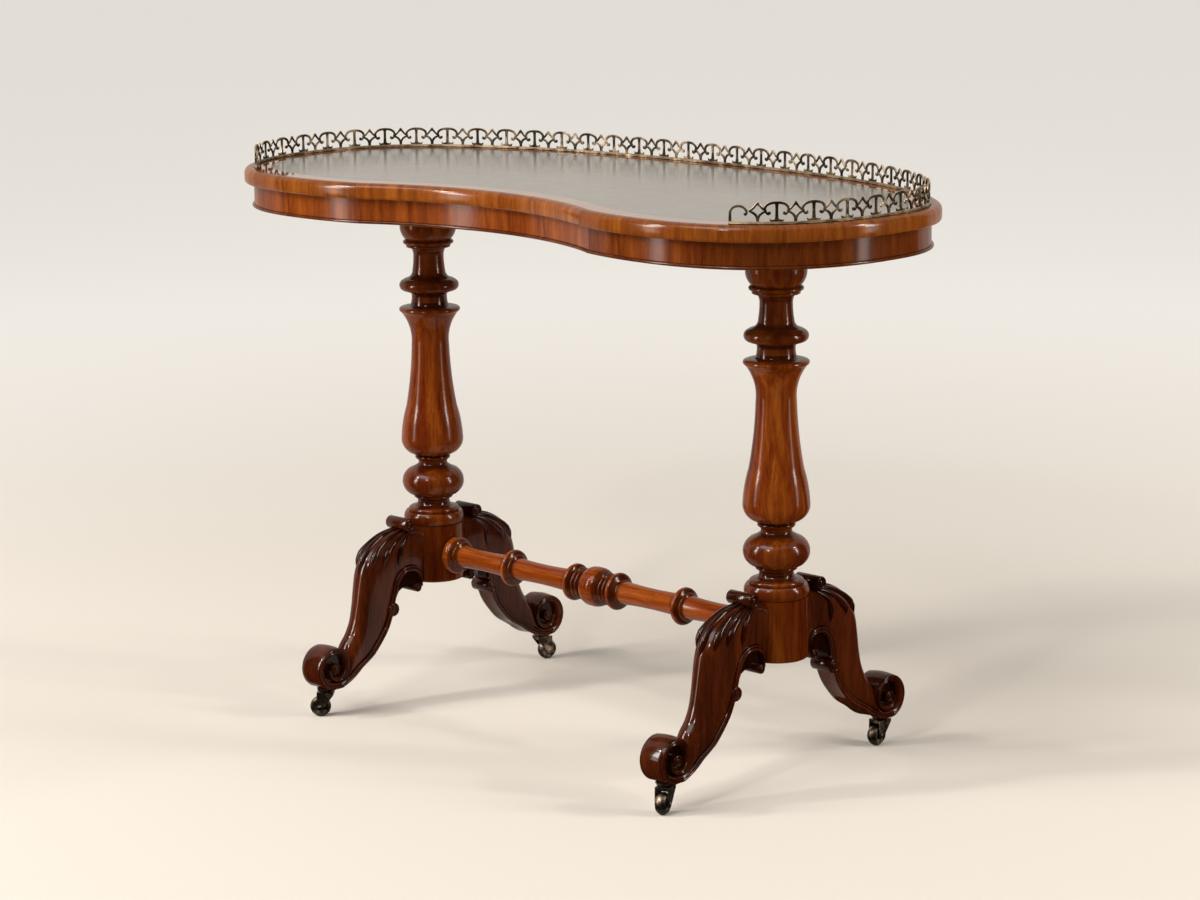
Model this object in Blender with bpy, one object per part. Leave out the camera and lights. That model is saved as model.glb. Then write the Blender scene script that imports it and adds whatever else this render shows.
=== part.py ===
"""Kidney shaped writing table with a pierced gallery, two turned columns and four scrolled legs.

Metres, +Z up, the floor at zero, the hollow front towards -Y. The origin is on the floor below
the middle of the top. Every piece is its own closed solid.
"""

import math

import bmesh
import bpy
from mathutils import Matrix, Vector

for old in list(bpy.data.objects):
    bpy.data.objects.remove(old, do_unlink=True)

# Whole table
HEIGHT = 0.740
HALF_LENGTH = 0.538
HALF_DEPTH = 0.244
GAP = 0.0003
OVERRUN = 0.010

# Kidney outline: rounded back and ends, two front lobes, and a hollow between two arrises.
# Places along the length are shares of half of it
END_Y = -0.020
BACK_POWER = 2.37
LOBE_SHARE = 0.5874
LOBE_POWER = 2.33
LOBE_RADIUS = 0.410
CORNER_SHARE = 0.3820
HOLLOW_RADIUS = 0.445
BACK_STEPS = 10
LOBE_STEPS = 9
INNER_STEPS = 1
HOLLOW_STEPS = 4

# Top: solid rim, board, veneered band and leather
RIM_WIDTH = 0.012
RIM_HEIGHT = 0.020
RIM_ROUND = 0.006
ROUND_STEPS = 2
RIM_EASE = 0.0015
RIM_JOINT_SHARE = 0.6134
VENEER = 0.0014
BAND_WIDTH = 0.025
LEATHER_DROP = 0.0003

# Frieze with a bead planted below it
FRIEZE_INSET = 0.0125
FRIEZE_THICKNESS = 0.016
FRIEZE_HEIGHT = 0.029
FRIEZE_SEAM_SHARE = 0.7435
BEAD_HEIGHT = 0.004
BEAD_PROJECTION = 0.003
BEAD_WIDTH = 0.013

# Pierced gallery
GALLERY_INSET = 0.0155
GALLERY_END_SHARE = 0.7993
GALLERY_HEIGHT = 0.0275
GALLERY_THICKNESS = 0.002
RAIL_WIDTH = 0.005
RAIL_HEIGHT = 0.0032
ARCH_COUNT = 37
ARCHES_AT_JOINTS = (12, 18, 24, 28, 32)
END_ARCH_SHARE = 0.77
GALLERY_FINENESS = 4

# Bearers below the board, with their screws
COLUMN_SHARE = 0.5948
BEARER_WIDTH = 0.070
BEARER_THICKNESS = 0.020
BEARER_PLAY = 0.008
BEARER_CHAMFER = 0.003
SCREW_FROM_END = 0.070
SCREW_LENGTH = 0.032
SCREW_RADIUS = 0.0022
SCREW_HEAD_RADIUS = 0.0045
SCREW_HEAD_HEIGHT = 0.0028
SCREW_SLOT = 0.0010
SCREW_SIDES = 10

# Turned columns
COLUMN_RADIUS = 0.0425
COLUMN_SIDES = 14
TOP_TENON_RADIUS = 0.015
TOP_TENON_LENGTH = 0.0177
LOW_TENON_RADIUS = 0.016
LOW_TENON_LENGTH = 0.040
DEGREES_PER_STEP = 36.0
SHARP_DEGREES = 40.0

# Hubs that hold the legs, and the stretcher between them
HUB_RADIUS = 0.040
HUB_BOTTOM = 0.149
HUB_TOP = 0.2382
HUB_SIDES = 18
HUB_CHAMFER = 0.0015
STRETCHER_Z = 0.197
STRETCHER_RADIUS = 0.0263
STRETCHER_SIDES = 10
DOWEL_RADIUS = 0.011
DOWEL_LENGTH = 0.020

# Scrolled legs
LEG_INSET = 0.013
LEG_TOP = 0.240
LEG_WIDTH = 0.039
LEG_ROUND = 0.0055
TOE_RADIUS = 0.0305
TOE_SIDES = 12
FOOT_FLAT = 0.040
KNEE_ROLL_RADIUS = 0.009
KNEE_ROLL_WIDTH = 0.041
SCROLL_ROLL_RADIUS = 0.0085
SCROLL_ROLL_WIDTH = 0.042
SCROLL_HOLLOW_RADIUS = 0.0165
SCROLL_HOLLOW_DEPTH = 0.0035
SCROLL_HOLLOW_SIDES = 12
SCROLL_BEAD_RADIUS = 0.0028
ROLL_SIDES = 8
BEAD_SIDES = 4
TONGUE_WIDTH = 0.012
TONGUE_DEPTH = 0.012
TONGUE_LOW = 0.165
TONGUE_HIGH = 0.228

# Castors
CASTOR_FROM_TOE = 0.027
WHEEL_RADIUS = 0.0143
WHEEL_WIDTH = 0.0134
WHEEL_SIDES = 14
WHEEL_SHOULDER_SHARE = 0.80
TREAD_SHARE = 0.50
TRAIL = 0.0085
AXLE_RADIUS = 0.0015
AXLE_HEAD_RADIUS = 0.0026
AXLE_HEAD_LENGTH = 0.0010
AXLE_CAP_SHARE = 0.60
AXLE_SIDES = 6
FORK_WIDTH = 0.0190
FORK_WALL = 0.0018
FORK_TOP_THICKNESS = 0.0040
FORK_REAR = 0.0100
FORK_FRONT = 0.0125
FORK_EYE_RADIUS = 0.0048
FORK_EYE_DEGREES = (200.0, 235.0, 270.0, 305.0, 340.0)
PLATE_RADIUS = 0.0130
PLATE_THICKNESS = 0.0037
COLLAR_RADIUS = 0.0060
COLLAR_HEIGHT = 0.0009
PIN_RADIUS = 0.0030
PIN_HEAD_RADIUS = 0.0045
PIN_HEAD_HEIGHT = 0.0016
PLATE_SIDES = 10
TRAIL_DEGREES = {
    "left_front": 222.0,
    "left_back": 75.0,
    "right_front": 291.0,
    "right_back": 271.0,
}

# Places that follow from the sizes above
LOBE_X = HALF_LENGTH * LOBE_SHARE
CORNER_X = HALF_LENGTH * CORNER_SHARE
COLUMN_X = HALF_LENGTH * COLUMN_SHARE
RIM_JOINT_X = HALF_LENGTH * RIM_JOINT_SHARE
FRIEZE_SEAM_X = HALF_LENGTH * FRIEZE_SEAM_SHARE
GALLERY_END_X = HALF_LENGTH * GALLERY_END_SHARE
LEG_REACH = HALF_DEPTH - LEG_INSET
CASTOR_Y = LEG_REACH - CASTOR_FROM_TOE
BOARD_BOTTOM = HEIGHT - RIM_HEIGHT
BOARD_TOP = HEIGHT - VENEER - GAP
FRIEZE_TOP = BOARD_BOTTOM - GAP
FRIEZE_BOTTOM = BOARD_BOTTOM - FRIEZE_HEIGHT
BEARER_TOP = BOARD_BOTTOM - GAP
BEARER_BOTTOM = BEARER_TOP - BEARER_THICKNESS
COLUMN_TOP = BEARER_BOTTOM - GAP
COLUMN_BOTTOM = HUB_TOP + GAP
COLUMN_HEIGHT = COLUMN_TOP - COLUMN_BOTTOM
STRETCHER_HALF = COLUMN_X - HUB_RADIUS - GAP
LEG_HEIGHT = LEG_TOP - FOOT_FLAT
PLATE_TOP = FOOT_FLAT - GAP
PLATE_BOTTOM = PLATE_TOP - PLATE_THICKNESS
COLLAR_BOTTOM = PLATE_BOTTOM - COLLAR_HEIGHT
FORK_TOP = COLLAR_BOTTOM - GAP
FORK_UNDER = FORK_TOP - FORK_TOP_THICKNESS
PIN_BOTTOM = FORK_UNDER - GAP - PIN_HEAD_HEIGHT

# Turned shapes: share of the length, share of the largest radius, and how far the stretch
# before it bows outward, as a share of that radius
COLUMN_SHARES = (
    (0.000, 0.906, 0.00),
    (0.039, 0.906, 0.09),
    (0.039, 0.820, 0.00),
    (0.060, 0.541, -0.07),
    (0.066, 0.541, 0.00),
    (0.184, 0.541, 0.45),
    (0.192, 0.513, 0.00),
    (0.261, 1.000, 0.12),
    (0.355, 0.821, 0.02),
    (0.542, 0.609, -0.04),
    (0.637, 0.889, -0.10),
    (0.658, 0.889, 0.06),
    (0.658, 0.700, 0.00),
    (0.706, 0.824, -0.20),
    (0.708, 0.900, 0.00),
    (0.734, 0.900, 0.05),
    (0.739, 0.800, 0.00),
    (0.765, 0.518, -0.07),
    (0.810, 0.482, 0.00),
    (0.839, 0.666, -0.04),
    (0.856, 0.788, 0.03),
    (0.858, 0.722, 0.00),
    (0.906, 0.906, 0.05),
    (1.000, 0.906, 0.00),
)
STRETCHER_SHARES = (
    (0.000, 1.000, 0.00),
    (0.058, 0.720, 0.08),
    (0.064, 0.620, 0.00),
    (0.070, 0.800, 0.00),
    (0.094, 0.800, 0.08),
    (0.098, 0.620, 0.00),
    (0.136, 0.620, -0.10),
    (0.142, 0.840, 0.00),
    (0.188, 0.840, 0.14),
    (0.196, 0.620, 0.00),
    (0.206, 0.570, 0.00),
    (0.530, 0.570, -0.08),
    (0.540, 0.800, 0.00),
    (0.602, 0.800, 0.14),
    (0.612, 0.570, 0.00),
    (0.940, 0.570, -0.07),
    (0.956, 0.900, 0.00),
    (1.000, 0.900, 0.05),
)

# Leg outline: shares of the reach from the column's axis and of the height above the foot
LEG_TOP_SHARES = (
    (0.130, 1.000),
    (0.325, 0.990),
    (0.433, 0.960),
    (0.528, 0.895),
    (0.584, 0.815),
    (0.613, 0.735),
    (0.632, 0.625),
    (0.649, 0.510),
    (0.671, 0.410),
    (0.706, 0.330),
    (0.771, 0.255),
)
LEG_TOE_SHARES = ((0.868, 0.1425), (0.868, 0.005))
LEG_INNER_SHARES = (
    (0.753, 0.035),
    (0.649, 0.090),
    (0.554, 0.175),
    (0.476, 0.265),
    (0.433, 0.360),
    (0.416, 0.405),
    (0.359, 0.405),
    (0.338, 0.440),
    (0.384, 0.520),
    (0.366, 0.590),
    (0.333, 0.590),
    (0.208, 0.550),
    (0.130, 0.590),
)
TOE_CENTRE_SHARES = (0.868, 0.1425)
KNEE_ROLL_SHARES = (0.286, 1.030)
SCROLL_ROLL_SHARES = (0.268, 0.565)
SCROLL_HOLLOW_SHARES = (0.305, 0.600)
SCROLL_BEAD_SHARES = (
    (0.463, 0.505),
    (0.424, 0.515),
    (0.400, 0.620),
    (0.342, 0.692),
    (0.266, 0.710),
    (0.203, 0.670),
    (0.195, 0.590),
)
# Toe scroll, turned about its own axis: share of the half width, share of the toe's radius
TOE_SHARES = (
    (0.980, 0.250),
    (0.860, 0.310),
    (0.860, 0.620),
    (0.960, 0.700),
    (0.960, 0.900),
    (0.800, 1.000),
)

# Gallery motif about an arch: share of the pitch from its middle, share of the full height
ARCH_TOP_SHARES = ((0.280, 0.560), (0.200, 0.900), (0.000, 1.000))
LOZENGE_TIP_SHARES = (0.500, 0.950)
HOLE_SHARES = (
    (0.034, 0.320),
    (0.150, 0.175),
    (0.464, 0.175),
    (0.310, 0.490),
    (0.205, 0.430),
    (0.200, 0.780),
    (0.040, 0.890),
)
LOZENGE_HOLE_SHARES = ((0.500, 0.390), (0.365, 0.610), (0.500, 0.860), (0.635, 0.610))
END_TOP_SHARES = ((0.010, 0.560), (0.110, 0.760), (0.270, 0.810), (0.410, 0.750), (0.490, 0.560))
END_HOLE_SHARES = (
    (0.055, 0.175),
    (0.734, 0.175),
    (0.580, 0.480),
    (0.470, 0.430),
    (0.420, 0.620),
    (0.270, 0.720),
    (0.120, 0.660),
)


def finish(obj, colour, roughness, metallic=0.0):
    """Give the object its own material."""
    material = bpy.data.materials.new(obj.name)
    material.use_nodes = True
    shader = material.node_tree.nodes["Principled BSDF"]
    shader.inputs["Base Color"].default_value = (*colour, 1.0)
    shader.inputs["Roughness"].default_value = roughness
    shader.inputs["Metallic"].default_value = metallic
    obj.data.materials.clear()
    obj.data.materials.append(material)


def walnut(obj):
    finish(obj, (0.24, 0.085, 0.030), 0.18)


def mahogany(obj):
    finish(obj, (0.11, 0.026, 0.014), 0.15)


def brass(obj):
    finish(obj, (0.30, 0.20, 0.09), 0.35, 1.0)


def steel(obj):
    finish(obj, (0.35, 0.33, 0.30), 0.40, 1.0)


def pine(obj):
    finish(obj, (0.42, 0.27, 0.14), 0.60)


def new_object(name, mesh):
    obj = bpy.data.objects.new(name, mesh)
    bpy.context.scene.collection.objects.link(obj)
    return obj


def solid(name, vertices, faces):
    """A closed mesh with its faces turned outward, shaded smooth between sharp edges."""
    mesh = bpy.data.meshes.new(name)
    mesh.from_pydata([tuple(v) for v in vertices], [], faces)
    shape = bmesh.new()
    shape.from_mesh(mesh)
    bmesh.ops.recalc_face_normals(shape, faces=shape.faces)
    shape.to_mesh(mesh)
    shape.free()
    mesh.shade_smooth()
    mesh.set_sharp_from_angle(angle=math.radians(SHARP_DEGREES))
    return new_object(name, mesh)


def joined_rings(name, rings, loop=False):
    """A skin over rings of equal point counts, capped at both ends unless it loops."""
    size = len(rings[0])
    vertices = [point for ring in rings for point in ring]
    faces = []
    spans = len(rings) if loop else len(rings) - 1
    for row in range(spans):
        here = row * size
        there = ((row + 1) % len(rings)) * size
        for k in range(size):
            after = (k + 1) % size
            faces.append((here + k, here + after, there + after, there + k))
    if not loop:
        faces.append(tuple(range(size)))
        faces.append(tuple(range(len(vertices) - size, len(vertices))))
    return solid(name, vertices, faces)


def box(name, low, high):
    corners = ((low[0], low[1]), (high[0], low[1]), (high[0], high[1]), (low[0], high[1]))
    rings = [[(x, y, z) for x, y in corners] for z in (low[2], high[2])]
    return joined_rings(name, rings)


def turned(name, profile, sides, axis="Z", centre=(0.0, 0.0, 0.0), turn=0.0):
    """Turn a profile of (along, radius) about an axis. Radii are measured to the flats' corners."""
    rings = []
    for along, radius in profile:
        ring = []
        for k in range(sides):
            angle = turn + 2 * math.pi * k / sides
            across = radius * math.cos(angle)
            up = radius * math.sin(angle)
            point = {"X": (along, across, up), "Y": (across, along, up), "Z": (across, up, along)}[axis]
            ring.append(Vector(point) + Vector(centre))
        rings.append(ring)
    return joined_rings(name, rings)


def carve(obj, tools, operation="DIFFERENCE"):
    """Cut the tools from the object, or join them to it, and take the tools away."""
    for tool in tools:
        modifier = obj.modifiers.new(tool.name, "BOOLEAN")
        modifier.operation = operation
        modifier.solver = "EXACT"
        modifier.object = tool
    graph = bpy.context.evaluated_depsgraph_get()
    mesh = bpy.data.meshes.new_from_object(obj.evaluated_get(graph))
    obj.modifiers.clear()
    obj.data = mesh
    mesh.shade_smooth()
    mesh.set_sharp_from_angle(angle=math.radians(SHARP_DEGREES))
    for tool in tools:
        bpy.data.objects.remove(tool, do_unlink=True)
    return obj


def bowed(start, end, bow):
    """Points after start up to end, on an arc that stands off the straight line by bow."""
    (a, ra), (b, rb) = start, end
    length = math.hypot(b - a, rb - ra)
    if bow == 0 or length == 0:
        return [end]
    sweep = 4 * math.atan(2 * abs(bow) / length)
    steps = max(2, round(math.degrees(sweep) / DEGREES_PER_STEP))
    normal = (-(rb - ra) / length, (b - a) / length)
    radius = (length * length / 4 + bow * bow) / (2 * abs(bow))
    points = []
    for k in range(1, steps + 1):
        along = k / steps
        half = length * along - length / 2
        rise = math.sqrt(radius * radius - half * half) - (radius - abs(bow))
        rise = math.copysign(rise, bow) if k < steps else 0.0
        place = a + (b - a) * along + normal[0] * rise
        points.append((place, ra + (rb - ra) * along + normal[1] * rise))
    return points


def turning(shares, length, radius):
    """Profile of (along, radius) from a table of shares."""
    points = []
    for along, size, bow in shares:
        place = (along * length, size * radius)
        points += bowed(points[-1], place, bow * radius) if points else [place]
    return points


def ellipse_quarter(centre, radii, power, start, stop, steps):
    points = []
    for k in range(steps + 1):
        angle = math.radians(start + (stop - start) * k / steps)
        c = math.cos(angle)
        s = math.sin(angle)
        x = centre[0] + radii[0] * math.copysign(abs(c) ** (2 / power), c)
        y = centre[1] + radii[1] * math.copysign(abs(s) ** (2 / power), s)
        points.append((x, y))
    return points


def kidney(fineness=1):
    """Outline of the rim, clockwise from the middle of the back."""
    back = (HALF_LENGTH, HALF_DEPTH - END_Y)
    lobe = (HALF_LENGTH - LOBE_X, HALF_DEPTH + END_Y)
    half = ellipse_quarter((0.0, END_Y), back, BACK_POWER, 90, 0, BACK_STEPS * fineness)
    half += ellipse_quarter((LOBE_X, END_Y), lobe, LOBE_POWER, 0, -90, LOBE_STEPS * fineness)[1:]
    sweep = math.asin((LOBE_X - CORNER_X) / LOBE_RADIUS)
    for k in range(1, INNER_STEPS * fineness + 1):
        angle = sweep * k / (INNER_STEPS * fineness)
        rise = LOBE_RADIUS * (1 - math.cos(angle))
        half.append((LOBE_X - LOBE_RADIUS * math.sin(angle), rise - HALF_DEPTH))
    corner_y = half[-1][1]
    sweep = math.asin(CORNER_X / HOLLOW_RADIUS)
    centre_y = corner_y - HOLLOW_RADIUS * math.cos(sweep)
    for k in range(1, HOLLOW_STEPS * fineness + 1):
        angle = sweep * (1 - k / (HOLLOW_STEPS * fineness))
        half.append((HOLLOW_RADIUS * math.sin(angle), centre_y + HOLLOW_RADIUS * math.cos(angle)))
    return half + [(-x, y) for x, y in reversed(half[1:-1])]


def inset(points, distance):
    """The closed outline moved inward, with mitred corners."""
    moved = []
    for k, (x, y) in enumerate(points):
        before = points[k - 1]
        after = points[(k + 1) % len(points)]
        a = Vector((y - before[1], before[0] - x)).normalized()
        b = Vector((after[1] - y, x - after[0])).normalized()
        mitre = (a + b) * (distance / (1 + a.dot(b)))
        moved.append((x + mitre.x, y + mitre.y))
    return moved


OUTLINE = kidney()
MIDDLE_FRONT = len(OUTLINE) // 2
CORNER_INDEX = MIDDLE_FRONT - HOLLOW_STEPS


def nearest(x, indices):
    """Of these outline points, the one closest to x."""
    return min(indices, key=lambda k: abs(OUTLINE[k][0] - x))


def mirrored(index):
    return len(OUTLINE) - index


def crossings(edge, x):
    """Lowest and highest y where a closed outline crosses this x."""
    found = []
    for a, b in zip(edge, edge[1:] + edge[:1]):
        if min(a[0], b[0]) <= x < max(a[0], b[0]):
            found.append(a[1] + (b[1] - a[1]) * (x - a[0]) / (b[0] - a[0]))
    return min(found), max(found)


# A bearer reaches to just inside the frieze, in front and behind
FRIEZE_INNER = inset(OUTLINE, FRIEZE_INSET + FRIEZE_THICKNESS)
BEARER_EDGES = (COLUMN_X - BEARER_WIDTH / 2, COLUMN_X + BEARER_WIDTH / 2)
BEARER_FRONT = max(crossings(FRIEZE_INNER, x)[0] for x in BEARER_EDGES) + BEARER_PLAY
BEARER_BACK = min(crossings(FRIEZE_INNER, x)[1] for x in BEARER_EDGES) - BEARER_PLAY
SCREW_PLACES = (BEARER_FRONT + SCREW_FROM_END, BEARER_BACK - SCREW_FROM_END)


def moulding(name, profile, first, last):
    """Sweep a closed profile of (inset, height) along the outline between two of its points."""
    edges = [inset(OUTLINE, distance) for distance, _ in profile]
    count = len(OUTLINE)
    rings = []
    for index in range(first, last + 1):
        ring = [Vector((*edge[index % count], height)) for edge, (_, height) in zip(edges, profile)]
        rings.append(ring)
    start = (rings[1][0] - rings[0][0]).normalized() * (GAP / 2)
    stop = (rings[-2][0] - rings[-1][0]).normalized() * (GAP / 2)
    rings[0] = [point + start for point in rings[0]]
    rings[-1] = [point + stop for point in rings[-1]]
    return joined_rings(name, rings)


def slab(name, distance, low, high):
    """A flat board with the outline moved inward by distance."""
    edge = inset(OUTLINE, distance)
    return joined_rings(name, [[(x, y, z) for x, y in edge] for z in (low, high)])


def quarter_round(radius, steps):
    """(along, drop) round a quarter circle."""
    angles = [math.pi / 2 * k / steps for k in range(steps + 1)]
    return [(radius * math.sin(a), radius * (1 - math.cos(a))) for a in angles]


def make_top():
    screw_holes = []
    for side in (-1, 1):
        for y in SCREW_PLACES:
            low = (BOARD_BOTTOM - OVERRUN, SCREW_RADIUS + GAP)
            high = (BEARER_BOTTOM + SCREW_LENGTH + GAP, SCREW_RADIUS + GAP)
            place = (side * COLUMN_X, y, 0)
            screw_holes.append(turned("hole", (low, high), SCREW_SIDES, "Z", place))
    board = carve(slab("top_board", RIM_WIDTH + GAP, BOARD_BOTTOM, BOARD_TOP), screw_holes)
    pine(board)

    band_inner = RIM_WIDTH + BAND_WIDTH
    band = ((RIM_WIDTH + GAP, HEIGHT), (RIM_WIDTH + GAP, BOARD_TOP + GAP))
    band += ((band_inner - GAP, BOARD_TOP + GAP), (band_inner - GAP, HEIGHT))
    edges = [inset(OUTLINE, distance) for distance, _ in band]
    rings = []
    for k in range(len(OUTLINE)):
        rings.append([(*edge[k], height) for edge, (_, height) in zip(edges, band)])
    walnut(joined_rings("crossbanding", rings, loop=True))
    leather = slab("leather_inset", band_inner, BOARD_TOP + GAP, HEIGHT - LEATHER_DROP)
    finish(leather, (0.055, 0.06, 0.05), 0.35)

    rim = [(RIM_EASE, BOARD_BOTTOM), (0.0, BOARD_BOTTOM + RIM_EASE)]
    for along, drop in quarter_round(RIM_ROUND, ROUND_STEPS):
        rim.append((drop, HEIGHT - RIM_ROUND + along))
    rim += [(RIM_WIDTH, HEIGHT), (RIM_WIDTH, BOARD_BOTTOM)]
    right_back = nearest(RIM_JOINT_X, range(BACK_STEPS))
    stops = (right_back, CORNER_INDEX, mirrored(CORNER_INDEX), mirrored(right_back))
    names = ("rim_right", "rim_front", "rim_left", "rim_back")
    for name, first, last in zip(names, stops, stops[1:] + (stops[0] + len(OUTLINE),)):
        walnut(moulding(name, rim, first, last))


def make_frieze():
    inner = FRIEZE_INSET + FRIEZE_THICKNESS
    board = ((FRIEZE_INSET, FRIEZE_BOTTOM), (FRIEZE_INSET, FRIEZE_TOP))
    board += ((inner, FRIEZE_TOP), (inner, FRIEZE_BOTTOM))
    lobe = range(BACK_STEPS + 1, CORNER_INDEX)
    seam = nearest(FRIEZE_SEAM_X, [k for k in lobe if OUTLINE[k][1] < END_Y - HALF_DEPTH / 2])
    back = nearest(RIM_JOINT_X, range(BACK_STEPS))
    stops = (back, seam, CORNER_INDEX, mirrored(CORNER_INDEX), mirrored(seam), mirrored(back))
    names = ("frieze_right_end", "frieze_front_right", "frieze_front", "frieze_front_left")
    names += ("frieze_left_end", "frieze_back")
    for name, first, last in zip(names, stops, stops[1:] + (stops[0] + len(OUTLINE),)):
        walnut(moulding(name, board, first, last))

    top = FRIEZE_BOTTOM - GAP
    nose = BEAD_HEIGHT / 2
    outer = FRIEZE_INSET - BEAD_PROJECTION
    bead = ((outer + nose, top), (outer, top - nose), (outer + nose, top - BEAD_HEIGHT))
    bead += ((outer + BEAD_WIDTH, top - BEAD_HEIGHT), (outer + BEAD_WIDTH, top))
    stops = (back, CORNER_INDEX, mirrored(CORNER_INDEX), mirrored(back))
    names = ("bead_right", "bead_front", "bead_left", "bead_back")
    for name, first, last in zip(names, stops, stops[1:] + (stops[0] + len(OUTLINE),)):
        walnut(moulding(name, bead, first, last))


class GalleryPath:
    """The gallery's centre line from the right front end, round the back, to the left front end."""

    def __init__(self):
        edge = inset(kidney(GALLERY_FINENESS), GALLERY_INSET)
        corner = (BACK_STEPS + LOBE_STEPS + INNER_STEPS) * GALLERY_FINENESS
        right = edge[: corner + 1]
        run = list(reversed(right)) + [(-x, y) for x, y in right[1:]]
        past_lobe = [k for k, (x, y) in enumerate(run) if y > 0 or abs(x) > GALLERY_END_X]
        first = past_lobe[0]
        last = past_lobe[-1]
        start = self.at_x(run[first - 1], run[first], GALLERY_END_X)
        stop = self.at_x(run[last], run[last + 1], -GALLERY_END_X)
        self.points = [Vector(p) for p in [start] + run[first : last + 1] + [stop]]
        self.places = [0.0]
        for a, b in zip(self.points, self.points[1:]):
            self.places.append(self.places[-1] + (b - a).length)
        self.length = self.places[-1]
        self.tangents = []
        for k in range(len(self.points)):
            before = self.points[max(k - 1, 0)]
            after = self.points[min(k + 1, len(self.points) - 1)]
            self.tangents.append((after - before).normalized())

    @staticmethod
    def at_x(a, b, x):
        share = (x - a[0]) / (b[0] - a[0])
        return (x, a[1] + (b[1] - a[1]) * share)

    def place(self, distance, across, height):
        """The point this far along, across to the outside, and above the floor."""
        k = 0
        while k < len(self.places) - 2 and self.places[k + 1] < distance:
            k += 1
        share = (distance - self.places[k]) / (self.places[k + 1] - self.places[k])
        point = self.points[k].lerp(self.points[k + 1], share)
        tangent = self.tangents[k].lerp(self.tangents[k + 1], share).normalized()
        return Vector((point.x + tangent.y * across, point.y - tangent.x * across, height))


def gallery_outline(first, last, path):
    """Outer loop and holes of a pierced strip between two arches, in distance along and height.

    A section without a first or last arch runs to that end of the gallery, where a post and a
    half arch close it.
    """
    pitch = path.length / (ARCH_COUNT + 2 * END_ARCH_SHARE)
    foot = HEIGHT + RAIL_HEIGHT + 2 * GAP

    def middle(arch):
        return (END_ARCH_SHARE + arch) * pitch + pitch / 2

    def at(place, share, facing=1):
        return (place + facing * share[0] * pitch, HEIGHT + share[1] * GALLERY_HEIGHT)

    start = 0.0
    stop = path.length
    begin = -1
    end = ARCH_COUNT
    if first is None:
        top = [at(start, share) for share in END_TOP_SHARES]
        holes = [[at(start, share) for share in END_HOLE_SHARES]]
    else:
        start = middle(first) + GAP / 2
        begin = first
        top = [(start, HEIGHT + GALLERY_HEIGHT)]
        top += [at(middle(first), share) for share in reversed(ARCH_TOP_SHARES[:-1])]
        holes = []
    if last is not None:
        stop = middle(last) - GAP / 2
        end = last
    for arch in range(begin, end):
        here = middle(arch)
        after = middle(arch + 1)
        if arch >= 0:
            holes.append([at(here, share) for share in HOLE_SHARES])
        holes.append([at(here, share) for share in LOZENGE_HOLE_SHARES])
        top.append(at(here, LOZENGE_TIP_SHARES))
        if arch + 1 < ARCH_COUNT:
            holes.append([at(after, share, -1) for share in HOLE_SHARES])
            top += [at(after, share, -1) for share in ARCH_TOP_SHARES[:-1]]
        if arch + 1 < end:
            top += [at(after, share) for share in reversed(ARCH_TOP_SHARES)]
    if last is None:
        top += [at(stop, share, -1) for share in reversed(END_TOP_SHARES)]
        holes.append([at(stop, share, -1) for share in END_HOLE_SHARES])
    else:
        top.append((stop, HEIGHT + GALLERY_HEIGHT))
    halves = round((stop - start) / pitch * 2)
    places = [start + (stop - start) * k / halves for k in range(halves + 1)]
    return top + [(s, foot) for s in reversed(places)], holes, places


def gallery_section(place, first, last, path):
    """A pierced strip bent along the path, and the rail that it stands on."""
    outer, holes, places = gallery_outline(first, last, path)
    shape = bmesh.new()
    for loop in [outer] + holes:
        corners = [shape.verts.new((s, 0.0, height)) for s, height in loop]
        for a, b in zip(corners, corners[1:] + corners[:1]):
            shape.edges.new((a, b))
    bmesh.ops.triangle_fill(shape, use_beauty=True, use_dissolve=False, edges=shape.edges[:])
    front = bmesh.ops.extrude_face_region(shape, geom=shape.faces[:])
    for item in front["geom"]:
        if isinstance(item, bmesh.types.BMVert):
            item.co.y = GALLERY_THICKNESS
    for corner in shape.verts:
        across = corner.co.y - GALLERY_THICKNESS / 2
        corner.co = path.place(corner.co.x, across, corner.co.z)
    bmesh.ops.recalc_face_normals(shape, faces=shape.faces)
    mesh = bpy.data.meshes.new("gallery_" + place)
    shape.to_mesh(mesh)
    shape.free()
    brass(new_object("gallery_" + place, mesh))

    foot = HEIGHT + GAP
    section = [(-RAIL_WIDTH / 2, foot), (RAIL_WIDTH / 2, foot)]
    section += [(across, foot + RAIL_HEIGHT) for across, _ in reversed(section)]
    rings = [[path.place(s, across, height) for across, height in section] for s in places]
    brass(joined_rings("gallery_rail_" + place, rings))


def make_gallery():
    path = GalleryPath()
    names = ("right_end", "back_right", "back_left", "left_back", "left_end", "left_front")
    stops = (None,) + ARCHES_AT_JOINTS + (None,)
    for name, first, last in zip(names, stops, stops[1:]):
        gallery_section(name, first, last, path)


def screw_profile(play):
    """(height, radius) of a countersunk screw, or of its hole when there is play."""
    tip = BEARER_BOTTOM + SCREW_LENGTH + play
    neck = BEARER_BOTTOM + SCREW_HEAD_HEIGHT
    head = SCREW_HEAD_RADIUS + play
    return ((BEARER_BOTTOM, head), (neck, SCREW_RADIUS + play), (tip, SCREW_RADIUS + play))


def bearer_block(name, x):
    """A flat block with its lower edges chamfered."""
    rings = []
    for height, shrink in (
        (BEARER_BOTTOM, BEARER_CHAMFER),
        (BEARER_BOTTOM + BEARER_CHAMFER, 0),
        (BEARER_TOP, 0),
    ):
        left = x - BEARER_WIDTH / 2 + shrink
        right = x + BEARER_WIDTH / 2 - shrink
        front = BEARER_FRONT + shrink
        back = BEARER_BACK - shrink
        corners = ((left, front), (right, front), (right, back), (left, back))
        rings.append([(*corner, height) for corner in corners])
    return joined_rings(name, rings)


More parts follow.
